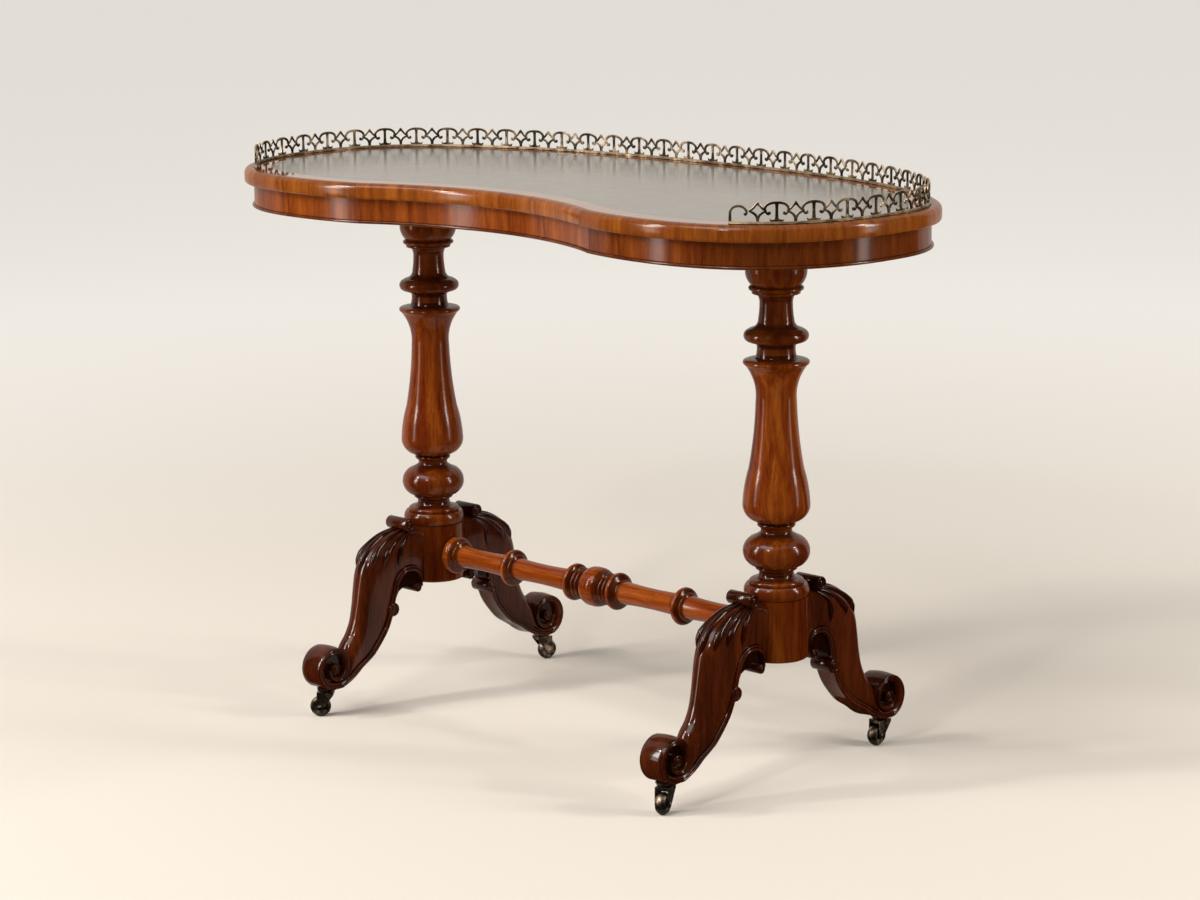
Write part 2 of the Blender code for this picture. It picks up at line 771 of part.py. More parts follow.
def make_bearers():
    for side, place in ((-1, "left"), (1, "right")):
        x = side * COLUMN_X
        wide = TOP_TENON_RADIUS + GAP
        top = COLUMN_TOP + TOP_TENON_LENGTH + GAP
        mortise = ((BEARER_BOTTOM - OVERRUN, wide), (top, wide))
        tools = [turned("mortise", mortise, COLUMN_SIDES, "Z", (x, 0, 0))]
        for y in SCREW_PLACES:
            head, neck, tip = screw_profile(GAP)
            hole = ((head[0] - OVERRUN, head[1]), head, neck, (BEARER_TOP + OVERRUN, tip[1]))
            tools.append(turned("hole", hole, SCREW_SIDES, "Z", (x, y, 0)))
        pine(carve(bearer_block("bearer_" + place, x), tools))
        for y, end in zip(SCREW_PLACES, ("front", "back")):
            name = "screw_" + place + "_" + end
            screw = turned(name, screw_profile(0), SCREW_SIDES, "Z", (x, y, 0))
            long = SCREW_HEAD_RADIUS + OVERRUN
            low = (x - SCREW_SLOT / 2, y - long, BEARER_BOTTOM - OVERRUN)
            high = (x + SCREW_SLOT / 2, y + long, BEARER_BOTTOM + SCREW_SLOT)
            steel(carve(screw, [box("slot", low, high)]))


def make_columns():
    shape = [(COLUMN_BOTTOM + z, r) for z, r in turning(COLUMN_SHARES, COLUMN_HEIGHT, COLUMN_RADIUS)]
    low = [(COLUMN_BOTTOM - LOW_TENON_LENGTH, LOW_TENON_RADIUS), (COLUMN_BOTTOM, LOW_TENON_RADIUS)]
    high = [(COLUMN_TOP, TOP_TENON_RADIUS), (COLUMN_TOP + TOP_TENON_LENGTH, TOP_TENON_RADIUS)]
    profile = low + shape + high
    for side, place in ((-1, "left"), (1, "right")):
        walnut(turned("column_" + place, profile, COLUMN_SIDES, "Z", (side * COLUMN_X, 0, 0)))


def make_hubs():
    for side, place in ((-1, "left"), (1, "right")):
        x = side * COLUMN_X
        edge = HUB_RADIUS - HUB_CHAMFER
        profile = ((HUB_BOTTOM, edge), (HUB_BOTTOM + HUB_CHAMFER, HUB_RADIUS), (HUB_TOP, HUB_RADIUS))
        hub = turned("hub_" + place, profile, HUB_SIDES, "Z", (x, 0, 0), math.pi / HUB_SIDES)
        wide = LOW_TENON_RADIUS + GAP
        bore = ((HUB_TOP + OVERRUN, wide), (COLUMN_BOTTOM - LOW_TENON_LENGTH - GAP, wide))
        tools = [turned("bore", bore, COLUMN_SIDES, "Z", (x, 0, 0))]
        deep = side * (STRETCHER_HALF + DOWEL_LENGTH + GAP)
        near = side * (STRETCHER_HALF - OVERRUN)
        socket = ((near, DOWEL_RADIUS + GAP), (deep, DOWEL_RADIUS + GAP))
        tools.append(turned("socket", socket, STRETCHER_SIDES, "X", (0, 0, STRETCHER_Z)))
        for face in (-1, 1):
            inner = face * (HUB_RADIUS - TONGUE_DEPTH - GAP)
            reach = sorted((inner, face * (HUB_RADIUS + OVERRUN)))
            wide = TONGUE_WIDTH / 2 + GAP
            low = (x - wide, reach[0], TONGUE_LOW - GAP)
            high = (x + wide, reach[1], TONGUE_HIGH + GAP)
            tools.append(box("slot", low, high))
        walnut(carve(hub, tools))


def make_stretcher():
    half = turning(STRETCHER_SHARES, STRETCHER_HALF, STRETCHER_RADIUS)
    half += [(STRETCHER_HALF, DOWEL_RADIUS), (STRETCHER_HALF + DOWEL_LENGTH, DOWEL_RADIUS)]
    profile = [(-along, radius) for along, radius in reversed(half[1:])] + half
    walnut(turned("stretcher", profile, STRETCHER_SIDES, "X", (0, 0, STRETCHER_Z)))


def leg_point(share):
    return (share[0] * LEG_REACH, FOOT_FLAT + share[1] * LEG_HEIGHT)


def leg_body():
    """The leg's outline extruded across its width, with rounded edges."""
    outline = [leg_point(s) for s in LEG_TOP_SHARES + LEG_TOE_SHARES + LEG_INNER_SHARES]
    half = LEG_WIDTH / 2
    layers = [(half - LEG_ROUND + along, drop) for along, drop in quarter_round(LEG_ROUND, ROUND_STEPS)]
    layers = [(-x, drop) for x, drop in reversed(layers)] + layers
    rings = []
    for x, drop in layers:
        rings.append([(x, y, z) for y, z in inset(outline, drop)])
    return joined_rings("leg", rings)


def roll(share, radius, width, name):
    """A plain roll across the leg."""
    y, z = leg_point(share)
    return turned(name, ((-width / 2, radius), (width / 2, radius)), ROLL_SIDES, "X", (0, y, z))


def scroll_bead(side):
    """A bead along the C scroll, half sunk in one side of the leg."""
    points = [Vector((side * LEG_WIDTH / 2, *leg_point(s))) for s in SCROLL_BEAD_SHARES]
    rings = []
    for k, point in enumerate(points):
        run = (points[min(k + 1, len(points) - 1)] - points[max(k - 1, 0)]).normalized()
        out = Vector((1, 0, 0))
        up = run.cross(out)
        ring = []
        for corner in range(BEAD_SIDES):
            angle = 2 * math.pi * (corner + 0.5) / BEAD_SIDES
            ring.append(point + (out * math.cos(angle) + up * math.sin(angle)) * SCROLL_BEAD_RADIUS)
        rings.append(ring)
    return joined_rings("bead", rings)


def leg_mesh():
    """One leg that stands out along +Y from a column on the Z axis."""
    body = leg_body()
    half = LEG_WIDTH / 2
    hollows = []
    for side in (-1, 1):
        ends = (side * (half - SCROLL_HOLLOW_DEPTH), side * (half + OVERRUN))
        hollow = [(x, SCROLL_HOLLOW_RADIUS) for x in ends]
        y, z = leg_point(SCROLL_HOLLOW_SHARES)
        hollows.append(turned("hollow", hollow, SCROLL_HOLLOW_SIDES, "X", (0, y, z)))
    carve(body, hollows)
    toe = [(share * half, radius * TOE_RADIUS) for share, radius in TOE_SHARES]
    toe = [(-along, radius) for along, radius in toe] + list(reversed(toe))
    y, z = leg_point(TOE_CENTRE_SHARES)
    parts = [turned("toe", toe, TOE_SIDES, "X", (0, y, z), math.pi / TOE_SIDES)]
    parts.append(roll(KNEE_ROLL_SHARES, KNEE_ROLL_RADIUS, KNEE_ROLL_WIDTH, "knee"))
    parts.append(roll(SCROLL_ROLL_SHARES, SCROLL_ROLL_RADIUS, SCROLL_ROLL_WIDTH, "scroll"))
    parts += [scroll_bead(-1), scroll_bead(1)]
    carve(body, parts, "UNION")
    seat = turned(
        "seat",
        ((0, HUB_RADIUS + GAP), (HEIGHT, HUB_RADIUS + GAP)),
        HUB_SIDES,
        "Z",
        (0, 0, 0),
        math.pi / HUB_SIDES,
    )
    floor = box("floor", (-LEG_WIDTH, 0, 0), (LEG_WIDTH, LEG_REACH + OVERRUN, FOOT_FLAT))
    carve(body, [seat, floor])
    low = (-TONGUE_WIDTH / 2, HUB_RADIUS - TONGUE_DEPTH, TONGUE_LOW)
    high = (TONGUE_WIDTH / 2, HUB_RADIUS + OVERRUN, TONGUE_HIGH)
    carve(body, [box("tongue", low, high)], "UNION")
    mesh = body.data
    bpy.data.objects.remove(body, do_unlink=True)
    return mesh


def make_legs():
    mesh = leg_mesh()
    for side, place in ((-1, "left"), (1, "right")):
        for facing, end in ((-1, "front"), (1, "back")):
            leg = new_object("leg_" + place + "_" + end, mesh.copy())
            leg.location = (side * COLUMN_X, 0, 0)
            leg.rotation_euler.z = math.pi if facing < 0 else 0
            mahogany(leg)


def castor_plate(name):
    profile = (
        (PIN_BOTTOM, PIN_HEAD_RADIUS),
        (PIN_BOTTOM + PIN_HEAD_HEIGHT, PIN_HEAD_RADIUS),
        (PIN_BOTTOM + PIN_HEAD_HEIGHT, PIN_RADIUS),
        (COLLAR_BOTTOM, PIN_RADIUS),
        (COLLAR_BOTTOM, COLLAR_RADIUS),
        (PLATE_BOTTOM, COLLAR_RADIUS),
        (PLATE_BOTTOM, PLATE_RADIUS - PLATE_THICKNESS / 2),
        (PLATE_BOTTOM + PLATE_THICKNESS / 2, PLATE_RADIUS),
        (PLATE_TOP, PLATE_RADIUS),
    )
    return turned(name, profile, PLATE_SIDES)


def castor_fork(name):
    """Fork that trails along +X, with its origin on the swivel axis."""
    side = [(-FORK_REAR, FORK_TOP), (-FORK_REAR, FORK_UNDER)]
    for degrees in FORK_EYE_DEGREES:
        angle = math.radians(degrees)
        x = TRAIL + FORK_EYE_RADIUS * math.cos(angle)
        side.append((x, WHEEL_RADIUS + FORK_EYE_RADIUS * math.sin(angle)))
    side += [(FORK_FRONT, FORK_UNDER), (FORK_FRONT, FORK_TOP)]
    rings = [[(x, y, z) for x, z in side] for y in (-FORK_WIDTH / 2, FORK_WIDTH / 2)]
    fork = joined_rings(name, rings)
    inner = FORK_WIDTH / 2 - FORK_WALL
    low = (-FORK_REAR - OVERRUN, -inner, 0)
    high = (FORK_FRONT + OVERRUN, inner, FORK_UNDER)
    pin = ((0, PIN_RADIUS + GAP), (FORK_TOP + OVERRUN, PIN_RADIUS + GAP))
    eye = ((-FORK_WIDTH, AXLE_RADIUS + GAP), (FORK_WIDTH, AXLE_RADIUS + GAP))
    tools = [box("wheel_slot", low, high), turned("pin_hole", pin, PLATE_SIDES)]
    tools.append(turned("eye_hole", eye, AXLE_SIDES, "Y", (TRAIL, 0, WHEEL_RADIUS)))
    return carve(fork, tools)


def castor_wheel(name):
    """Barrel wheel about Y with a bore, its origin on the axle."""
    half = WHEEL_WIDTH / 2
    to_corner = 1 / math.cos(math.pi / WHEEL_SIDES)
    tread = WHEEL_RADIUS * to_corner
    shoulder = tread * WHEEL_SHOULDER_SHARE
    flat = half * TREAD_SHARE
    bore = (AXLE_RADIUS + GAP) * to_corner
    profile = [(half, bore), (half, shoulder), (flat, tread)]
    profile = [(-along, radius) for along, radius in profile] + profile[::-1]
    turn = math.pi / 2 + math.pi / WHEEL_SIDES
    rings = []
    for k in range(WHEEL_SIDES):
        angle = turn + 2 * math.pi * k / WHEEL_SIDES
        rings.append([(r * math.cos(angle), along, r * math.sin(angle)) for along, r in profile])
    return joined_rings(name, rings, loop=True)


def castor_axle(name):
    half = FORK_WIDTH / 2 + GAP
    end = half + AXLE_HEAD_LENGTH
    profile = [(half, AXLE_RADIUS), (half, AXLE_HEAD_RADIUS), (end, AXLE_HEAD_RADIUS * AXLE_CAP_SHARE)]
    profile = [(-along, radius) for along, radius in reversed(profile)] + profile
    return turned(name, profile, AXLE_SIDES, "Y")


def make_castors():
    for side, place in ((-1, "left"), (1, "right")):
        for facing, end in ((-1, "front"), (1, "back")):
            corner = place + "_" + end
            swivel = Vector((side * COLUMN_X, facing * CASTOR_Y, 0))
            turn = Matrix.Rotation(math.radians(TRAIL_DEGREES[corner]), 4, "Z")
            plate = castor_plate("castor_plate_" + corner)
            plate.location = swivel
            brass(plate)
            fork = castor_fork("castor_fork_" + corner)
            fork.matrix_world = Matrix.Translation(swivel) @ turn
            brass(fork)
            hub = Matrix.Translation(swivel) @ turn @ Matrix.Translation((TRAIL, 0, WHEEL_RADIUS))
            axle = castor_axle("castor_axle_" + corner)
            axle.matrix_world = hub
            steel(axle)
            wheel = castor_wheel("castor_wheel_" + corner)
            wheel.matrix_world = hub
            brass(wheel)


make_top()
make_frieze()
make_gallery()
make_bearers()
make_columns()
make_hubs()
make_stretcher()
make_legs()
make_castors()
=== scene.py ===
# %% [markdown]
# Kidney shaped writing table
#
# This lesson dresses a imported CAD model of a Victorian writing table. The CAD gives the sizes, the
# bodies and the joints. Here each piece gets its fine shape, worked out as arrays of points, and
# its finish, worked out as shader nodes. Lengths are metres and +Z is up.

import bmesh
import bpy
import numpy as np
from mathutils import Matrix, Vector


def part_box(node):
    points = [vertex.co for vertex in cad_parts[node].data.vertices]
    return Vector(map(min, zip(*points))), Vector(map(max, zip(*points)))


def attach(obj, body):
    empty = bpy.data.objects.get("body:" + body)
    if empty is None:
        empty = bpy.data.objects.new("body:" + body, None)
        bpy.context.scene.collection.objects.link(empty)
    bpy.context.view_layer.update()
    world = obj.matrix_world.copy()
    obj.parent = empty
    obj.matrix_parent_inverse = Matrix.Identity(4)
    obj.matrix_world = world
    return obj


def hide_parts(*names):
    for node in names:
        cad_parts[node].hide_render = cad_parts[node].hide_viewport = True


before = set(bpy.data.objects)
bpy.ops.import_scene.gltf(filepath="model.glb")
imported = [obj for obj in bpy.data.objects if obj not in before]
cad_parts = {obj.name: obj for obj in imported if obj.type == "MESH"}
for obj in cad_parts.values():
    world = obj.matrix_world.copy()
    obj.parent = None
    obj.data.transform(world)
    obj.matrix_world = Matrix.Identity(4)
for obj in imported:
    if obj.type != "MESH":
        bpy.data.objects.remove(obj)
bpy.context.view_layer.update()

# %% [markdown]
# Shader maths as expressions
#
# A material is a network of nodes. Wiring it by hand takes many lines, so one small class wraps a
# socket and lets it be added and multiplied like a number, which leaves Math nodes behind. Colours
# would lose their colour in a Math node, so they go through Mix.


# %% A socket that can be calculated with
class Wire:
    """An output socket of a material. Arithmetic on it adds Math nodes."""

    def __init__(self, look, socket):
        self.look = look
        self.socket = socket

    def maths(self, operation, first, second):
        return self.look.node("Math", {0: first, 1: second}, operation=operation)

    def __add__(self, other):
        return self.maths("ADD", self, other)

    def __sub__(self, other):
        return self.maths("SUBTRACT", self, other)

    def __rsub__(self, other):
        return self.maths("SUBTRACT", other, self)

    def __mul__(self, other):
        return self.maths("MULTIPLY", self, other)

    __radd__ = __add__
    __rmul__ = __mul__


class Look:
    """A material in the making, with one Principled shader, or a world."""

    def __init__(self, name, world=None, **fixed):
        self.material = world or bpy.data.materials.new(name)
        self.material.use_nodes = True
        self.tree = self.material.node_tree
        self.shader = self.tree.nodes.get("Principled BSDF")
        for key, value in fixed.items():
            self.shader.inputs[key.replace("_", " ")].default_value = value

    def feed(self, socket, value):
        """Link a wire, or set a plain value."""
        if isinstance(value, Wire):
            self.tree.links.new(value.socket, socket)
        elif np.ndim(value) and len(value) == 3 and socket.type == "RGBA":
            socket.default_value = (*value, 1)
        else:
            socket.default_value = value

    def node(self, kind, inputs=(), out=0, stops=(), **settings):
        """Add a node: its settings and ramp stops first, then its sockets."""
        made = self.tree.nodes.new("ShaderNode" + kind)
        for key, value in settings.items():
            setattr(made, key, value)
        for k, (place, colour) in enumerate(stops):
            elements = made.color_ramp.elements
            element = elements[k] if k < len(elements) else elements.new(1)
            element.position = place
            element.color = (*colour, 1)
        for key, value in dict(inputs).items():
            self.feed(made.inputs[key], value)
        return Wire(self, made.outputs[out])

    def mix(self, factor, first, second):
        """First where the factor is 0, second where it is 1. The colour sockets are 6, 7 and out 2."""
        return self.node("Mix", {0: factor, 6: first, 7: second}, out=2, data_type="RGBA")

    def stretched(self, scale=(1, 1, 1), source="Object"):
        """The coordinates, stretched so that a pattern runs along the wood."""
        return self.node("Mapping", {"Vector": self.node("TexCoord", out=source), "Scale": scale})

    def noise(self, where, scale, detail=4, rough=0.55, warp=0):
        inputs = {"Vector": where, "Scale": scale, "Detail": detail, "Roughness": rough, "Distortion": warp}
        return self.node("TexNoise", inputs)

    def band(self, value, low, high):
        """0 below low, 1 above high, smooth between."""
        inputs = {"Value": value, "From Min": low, "From Max": high}
        return self.node("MapRange", inputs, interpolation_type="SMOOTHSTEP")

    def wear(self, colour, rough, height=None, strength=0.2, distance=0.0005):
        """Connect colour, roughness and bump to the shader."""
        self.feed(self.shader.inputs["Base Color"], colour)
        self.feed(self.shader.inputs["Roughness"], rough)
        if height is not None:
            bump = self.node("Bump", {"Height": height, "Strength": strength, "Distance": distance})
            self.feed(self.shader.inputs["Normal"], bump)
        return self.material


print("a socket can be added, subtracted, multiplied")

# %% [markdown]
# Polished wood
#
# The real table is walnut under French polish: a clear glossy film over figured wood. So the shader
# has a clear coat for the film and a rougher base for the wood. The figure has three scales: broad
# cloudy patches, long streaks of grain, and short dark pores. All three are noise stretched along
# the grain. The stretch decides which way the wood runs, so each piece passes its own. Where a mesh
# carries a darkening point attribute, the colour is darker: painted shade in grooves, beside the
# beads and under the top, and a plain darker polish on the stretcher's rings and the rolls.


# %% Wood
def shaded(tones, by):
    """The tones times one number: below 1 is darker wood, above 1 is paler."""
    return [tuple(by * channel for channel in tone) for tone in tones]


TONE_PLACES = (0.32, 0.44, 0.54, 0.68)


def polished_wood(name, tones, stretch, figure, source="Object", pores=0.5, film=0.1, polish=0.55, shade_and_dark_polish=0):
    """Wood whose colour runs through tones, dark to light, by stretched noise."""
    look = Look(name, Coat_Weight=polish, Coat_IOR=1.45, Coat_Roughness=film, Specular_IOR_Level=0)
    along = look.stretched(stretch, source)
    cloud = look.noise(along, figure * 0.35, 2, 0.5, 0.8)
    streak = look.noise(along, figure, 6, 0.62, 0.8)
    fibre = look.noise(along, figure * 5, 4, 0.7, 0.2)
    value = cloud * 0.35 + streak * 0.4 + fibre * 0.25
    colour = look.node("ValToRGB", {0: value}, stops=zip(TONE_PLACES, tones))
    pore = look.band(look.noise(along, figure * 12, 2, 0.5), 0.6, 0.74)
    dark = look.mix(pore * pores, colour, tones[0])
    # Painted shade: the point attribute darkens the colour toward a third of the darkest tone in grooves,
    # beside the beads and under the top, and makes the polish darker on rings and rolls
    if shade_and_dark_polish:
        hollow = look.band(look.node("Attribute", out="Fac", attribute_name="shade_and_dark_polish"), 0.03, 0.4)
        dark = look.mix(hollow * shade_and_dark_polish, dark, shaded(tones, 0.3)[0])
    return look.wear(dark, 0.24 + streak * 0.16, fibre + pore * 0.5, 0.1, 0.0002)


ALONG_Z = (1, 1, 0.07)
ALONG_X = (0.07, 1, 1)
RIM_TONES = ((0.078, 0.016, 0.002), (0.122, 0.028, 0.003), (0.17, 0.044, 0.005), (0.24, 0.072, 0.01))
FRIEZE_TONES = ((0.045, 0.008, 0.001), (0.075, 0.014, 0.002), (0.107, 0.023, 0.003), (0.16, 0.04, 0.005))
TURNED_TONES = ((0.028, 0.003, 0.001), (0.078, 0.01, 0.001), (0.135, 0.025, 0.002), (0.25, 0.066, 0.007))
LEG_TONES = ((0.01, 0.001, 0.001), (0.028, 0.005, 0.001), (0.052, 0.009, 0.002), (0.095, 0.02, 0.004))
print("red of the rim's walnut, dark to light:", [tone[0] for tone in RIM_TONES])

# %% [markdown]
# Leather and brass
#
# The writing surface is green-grey leather, waxed until it shines at a low angle, with three tooled
# lines near its edge. The leather mesh carries its distance from the edge in its UV map, so the
# lines are a function of U alone. Old brass is dark brown where it is not rubbed and bright where it
# is, in patches of noise, and paler again on faces that look up, a painted highlight.


# %% Leather and metals
def tooled_leather(name, lines, width):
    """Fine grained leather with lines pressed in at these distances from the edge."""
    look = Look(name, Specular_IOR_Level=0.5, Coat_Weight=0.6, Coat_Roughness=0.18)
    place = look.stretched()
    cloud = look.noise(place, 5, 5, 0.6)
    grain = look.node("TexVoronoi", {"Vector": place, "Scale": 900})
    worn = look.noise(place, 60, 4, 0.7)
    stops = ((0.35, (0.052, 0.047, 0.038)), (0.65, (0.095, 0.086, 0.07)))
    colour = look.node("ValToRGB", {0: cloud * 0.7 + worn * 0.3}, stops=stops)
    from_edge = look.node("SeparateXYZ", {0: look.node("TexCoord", out="UV")}, out="X")
    pressed = 0
    for line in lines:
        away = look.node("Math", {0: from_edge - line}, operation="ABSOLUTE")
        pressed = pressed + (1 - look.band(away, width * 0.5, width))
    colour = look.mix(pressed * 0.75, colour, (0.016, 0.015, 0.012))
    return look.wear(colour, 0.3 + worn * 0.18, grain * 0.4 - pressed, 0.25, 0.0002)


def old_brass(name, dark, bright, gloss, patch):
    """Brass that is dark where it is not rubbed, and paler on faces that look up: a painted highlight."""
    look = Look(name, Metallic=1)
    place = look.stretched()
    patches = look.noise(place, patch, 5, 0.65)
    scratches = look.noise(place, patch * 12, 3, 0.6)
    # Painted highlight: the more a face looks up, the paler the brass
    top_highlight = look.node("SeparateXYZ", {0: look.node("NewGeometry", out="Normal")}, out="Z")
    rubbed_and_top_lit = look.band(patches + top_highlight * 0.24, 0.44, 0.7)
    colour = look.mix(rubbed_and_top_lit, dark, bright)
    return look.wear(colour, gloss + 0.22 * (1 - rubbed_and_top_lit) + scratches * 0.1, patches, 0.12, 0.0003)


print("finishes so far: polished wood, tooled leather, old brass")

# %% [markdown]
# Meshes from grids
#
# Almost every piece of this table is a skin over a grid of points: rows run along the piece and
# columns run round it. One class gathers such grids and writes them as a single mesh. It also keeps
# where each corner lies along and across the grid, in metres, as the UV map for the wood grain, and
# how much darker each point is, as a point attribute: painted shade in grooves, and a plain darker
# polish on some parts. In the array maths np.r_ joins rows and np.c_ joins columns.


# %% Gathering skins
class Shape:
    """Grids of points gathered into one mesh."""

    def __init__(self):
        self.points, self.faces, self.places, self.shade_and_dark_polish = [], [], [], []
        self.count = 0

    def skin(self, grid, closed=False, lengths=None, shade_and_dark_polish=0):
        """Quads over a (rows, columns, 3) grid. Columns run round; rows close as well, or get caps."""
        grid = np.asarray(grid, float)
        rows, columns = grid.shape[:2]
        row, column = np.divmod(np.arange((rows if closed else rows - 1) * columns), columns)
        row, column = row[:, None] + (0, 1, 1, 0), column[:, None] + (0, 0, 1, 1)
        self.faces += ((row % rows) * columns + column % columns + self.count).tolist()
        if lengths is None:
            lengths = (run_of(grid, 0), run_of(grid, 1))
        self.places.append(np.stack([lengths[0][row], lengths[1][column]], 2).reshape(-1, 2))
        self.points.append(grid.reshape(-1, 3))
        if not closed:
            for ring in (np.arange(columns)[::-1], np.arange(columns) + (rows - 1) * columns):
                self.faces.append((ring + self.count).tolist())
                flat = self.points[-1][ring]
                self.places.append(flat[:, :2] - flat[0, :2])
        self.shade_and_dark_polish.append(np.broadcast_to(shade_and_dark_polish, (rows, columns)).ravel())
        self.count += rows * columns
        return self

    def make(self, name, material, slot, stands_for=(), body="table", turn=None, sharp=35):
        """Write the mesh, face it outward, and say what it rides on and replaces."""
        points = np.concatenate(self.points)
        if turn is not None:
            points = points @ turn[0].T + turn[1]
        mesh = bpy.data.meshes.new(name)
        mesh.from_pydata(points.tolist(), [], self.faces)
        uv = mesh.uv_layers.new(name="UVMap")
        uv.data.foreach_set("uv", np.concatenate(self.places).astype(np.float32).ravel())
        shade_and_dark_polish = np.concatenate(self.shade_and_dark_polish).astype(np.float32)
        if shade_and_dark_polish.any():
            mesh.attributes.new("shade_and_dark_polish", "FLOAT", "POINT").data.foreach_set("value", shade_and_dark_polish)
        shell = bmesh.new()
        shell.from_mesh(mesh)
        bmesh.ops.recalc_face_normals(shell, faces=shell.faces)
        shell.to_mesh(mesh)
        shell.free()
        mesh.shade_smooth()
        mesh.set_sharp_from_angle(angle=np.radians(sharp))
        mesh.materials.append(material)
        piece = bpy.data.objects.new(name, mesh)
        bpy.context.scene.collection.objects.link(piece)
        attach(piece, body)
        if stands_for:
            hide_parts(*stands_for)
        return piece


def run_of(grid, axis):
    """Distance along one axis of a grid, from its first line, with one more step for a closed grid."""
    line = grid[:, 0] if axis == 0 else grid[0]
    step = np.linalg.norm(np.diff(line, axis=0, append=line[:1]), axis=1)
    return np.r_[[0], np.cumsum(step)]


def unit(vectors):
    """Each vector over its length."""
    return vectors / np.linalg.norm(vectors, axis=-1, keepdims=True)


def smooth(points, steps):
    """Catmull-Rom curve: between two points, a cubic whose slopes come from their neighbours."""
    p = np.asarray(points, float)
    p = np.r_[[2 * p[0] - p[1]], p, [2 * p[-1] - p[-2]]]
    t = np.linspace(0, 1, steps, endpoint=False)[None, :, None]
    a, b, c, d = (p[k : len(p) - 3 + k, None] for k in range(4))
    curve = 0.5 * (2 * b + (c - a) * t + (2 * a - 5 * b + 4 * c - d) * t**2 + (3 * b - a - 3 * c + d) * t**3)
    return np.r_[curve.reshape(-1, p.shape[1]), p[-2:-1]]


def revolve(profile, sides, axis="Z", centre=(0, 0, 0)):
    """Each (place, radius) becomes a ring: centre + place on the axis + radius (cos, sin)."""
    place, radius = np.asarray(profile, float).T
    angle = np.linspace(0, 2 * np.pi, sides, endpoint=False)
    across = radius[:, None] * np.cos(angle)
    up = radius[:, None] * np.sin(angle)
    along = np.repeat(place[:, None], sides, 1)
    return np.stack((along, across, up) if axis == "X" else (across, up, along), 2) + np.asarray(centre, float)


print("a skin over two squares has", len(Shape().skin(revolve([(0, 1), (1, 1)], 4)).faces), "faces")

# %% [markdown]
# The kidney's outline
#
# The plan is four curves on each side: a superellipse for the back and end, a superellipse for the
# front lobe, a short arc to the arris, and the hollow's arc. The same numbers drive the CAD model,
# which takes few points on them; here each step is cut finer, so the edge is smooth.

# %% Outline
rim_low, rim_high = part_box("rim_right")
HALF_LENGTH = max(rim_high.x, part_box("rim_back")[1].x)
HALF_DEPTH = -rim_low.y
HEIGHT = rim_high.z
BOARD_BOTTOM = rim_low.z
END_Y = -0.02
BACK_POWER = 2.37
LOBE_X = 0.5874 * HALF_LENGTH
LOBE_POWER = 2.33
LOBE_RADIUS = 0.41
CORNER_X = 0.382 * HALF_LENGTH
HOLLOW_RADIUS = 0.445
BACK_STEPS, LOBE_STEPS, INNER_STEPS, HOLLOW_STEPS = 10, 9, 1, 4
FINE = 8


def ray(degrees):
    """(cos, sin) of each angle, as rows."""
    angle = np.radians(degrees)
    return np.c_[np.cos(angle), np.sin(angle)]


def superellipse(centre, radii, power, start, stop, steps):
    """centre + radii times (cos, sin) to the power 2 / power, keeping their signs."""
    way = ray(np.linspace(start, stop, steps + 1))
    return centre + radii * np.sign(way) * np.abs(way) ** (2 / power)


def kidney():
    """Closed outline, clockwise from the middle of the back; each arc is centre + radius (sin, cos)."""
    back = superellipse((0, END_Y), (HALF_LENGTH, HALF_DEPTH - END_Y), BACK_POWER, 90, 0, BACK_STEPS * FINE)
    lobe_size = (HALF_LENGTH - LOBE_X, HALF_DEPTH + END_Y)
    lobe = superellipse((LOBE_X, END_Y), lobe_size, LOBE_POWER, 0, -90, LOBE_STEPS * FINE)[1:]
    sweep = np.arcsin((LOBE_X - CORNER_X) / LOBE_RADIUS)
    angle = sweep * np.arange(1, INNER_STEPS * FINE + 1) / (INNER_STEPS * FINE)
    inner = np.c_[LOBE_X - LOBE_RADIUS * np.sin(angle), LOBE_RADIUS * (1 - np.cos(angle)) - HALF_DEPTH]
    sweep = np.arcsin(CORNER_X / HOLLOW_RADIUS)
    angle = sweep * (1 - np.arange(1, HOLLOW_STEPS * FINE + 1) / (HOLLOW_STEPS * FINE))
    centre_y = inner[-1, 1] - HOLLOW_RADIUS * np.cos(sweep)
    hollow = np.c_[HOLLOW_RADIUS * np.sin(angle), centre_y + HOLLOW_RADIUS * np.cos(angle)]
    half = np.r_[back, lobe, inner, hollow]
    return np.r_[half, half[-2:0:-1] * (-1, 1)]


def inset(outline, distance):
    """The closed outline moved inward, mitred: point + (n1 + n2) distance / (1 + n1.n2)."""
    before = outline - np.roll(outline, 1, 0)
    after = np.roll(outline, -1, 0) - outline
    a, b = (unit(np.c_[way[:, 1], -way[:, 0]]) for way in (before, after))
    return outline + (a + b) * distance / (1 + (a * b).sum(1, keepdims=True))


OUTLINE = kidney()
CORNER = (BACK_STEPS + LOBE_STEPS + INNER_STEPS) * FINE
print("outline points", len(OUTLINE), "length", round(float(run_of(OUTLINE[None], 1)[-1]), 3), "m")

# %% [markdown]
# The top's edge
#
# Rim, frieze and bead are mouldings: one profile of (inset, height) carried along the outline. The
# real ones are veneered in lengths with the grain running across, so each length is its own piece
# with a hair of a gap, and the grain follows the UV map, not the room.

# %% Mouldings
GAP = 0.0003
# The joints of the end's lengths, at the CAD's coarse steps of the outline
BACK_JOINT, LOBE_JOINT = 4 * FINE, 17 * FINE


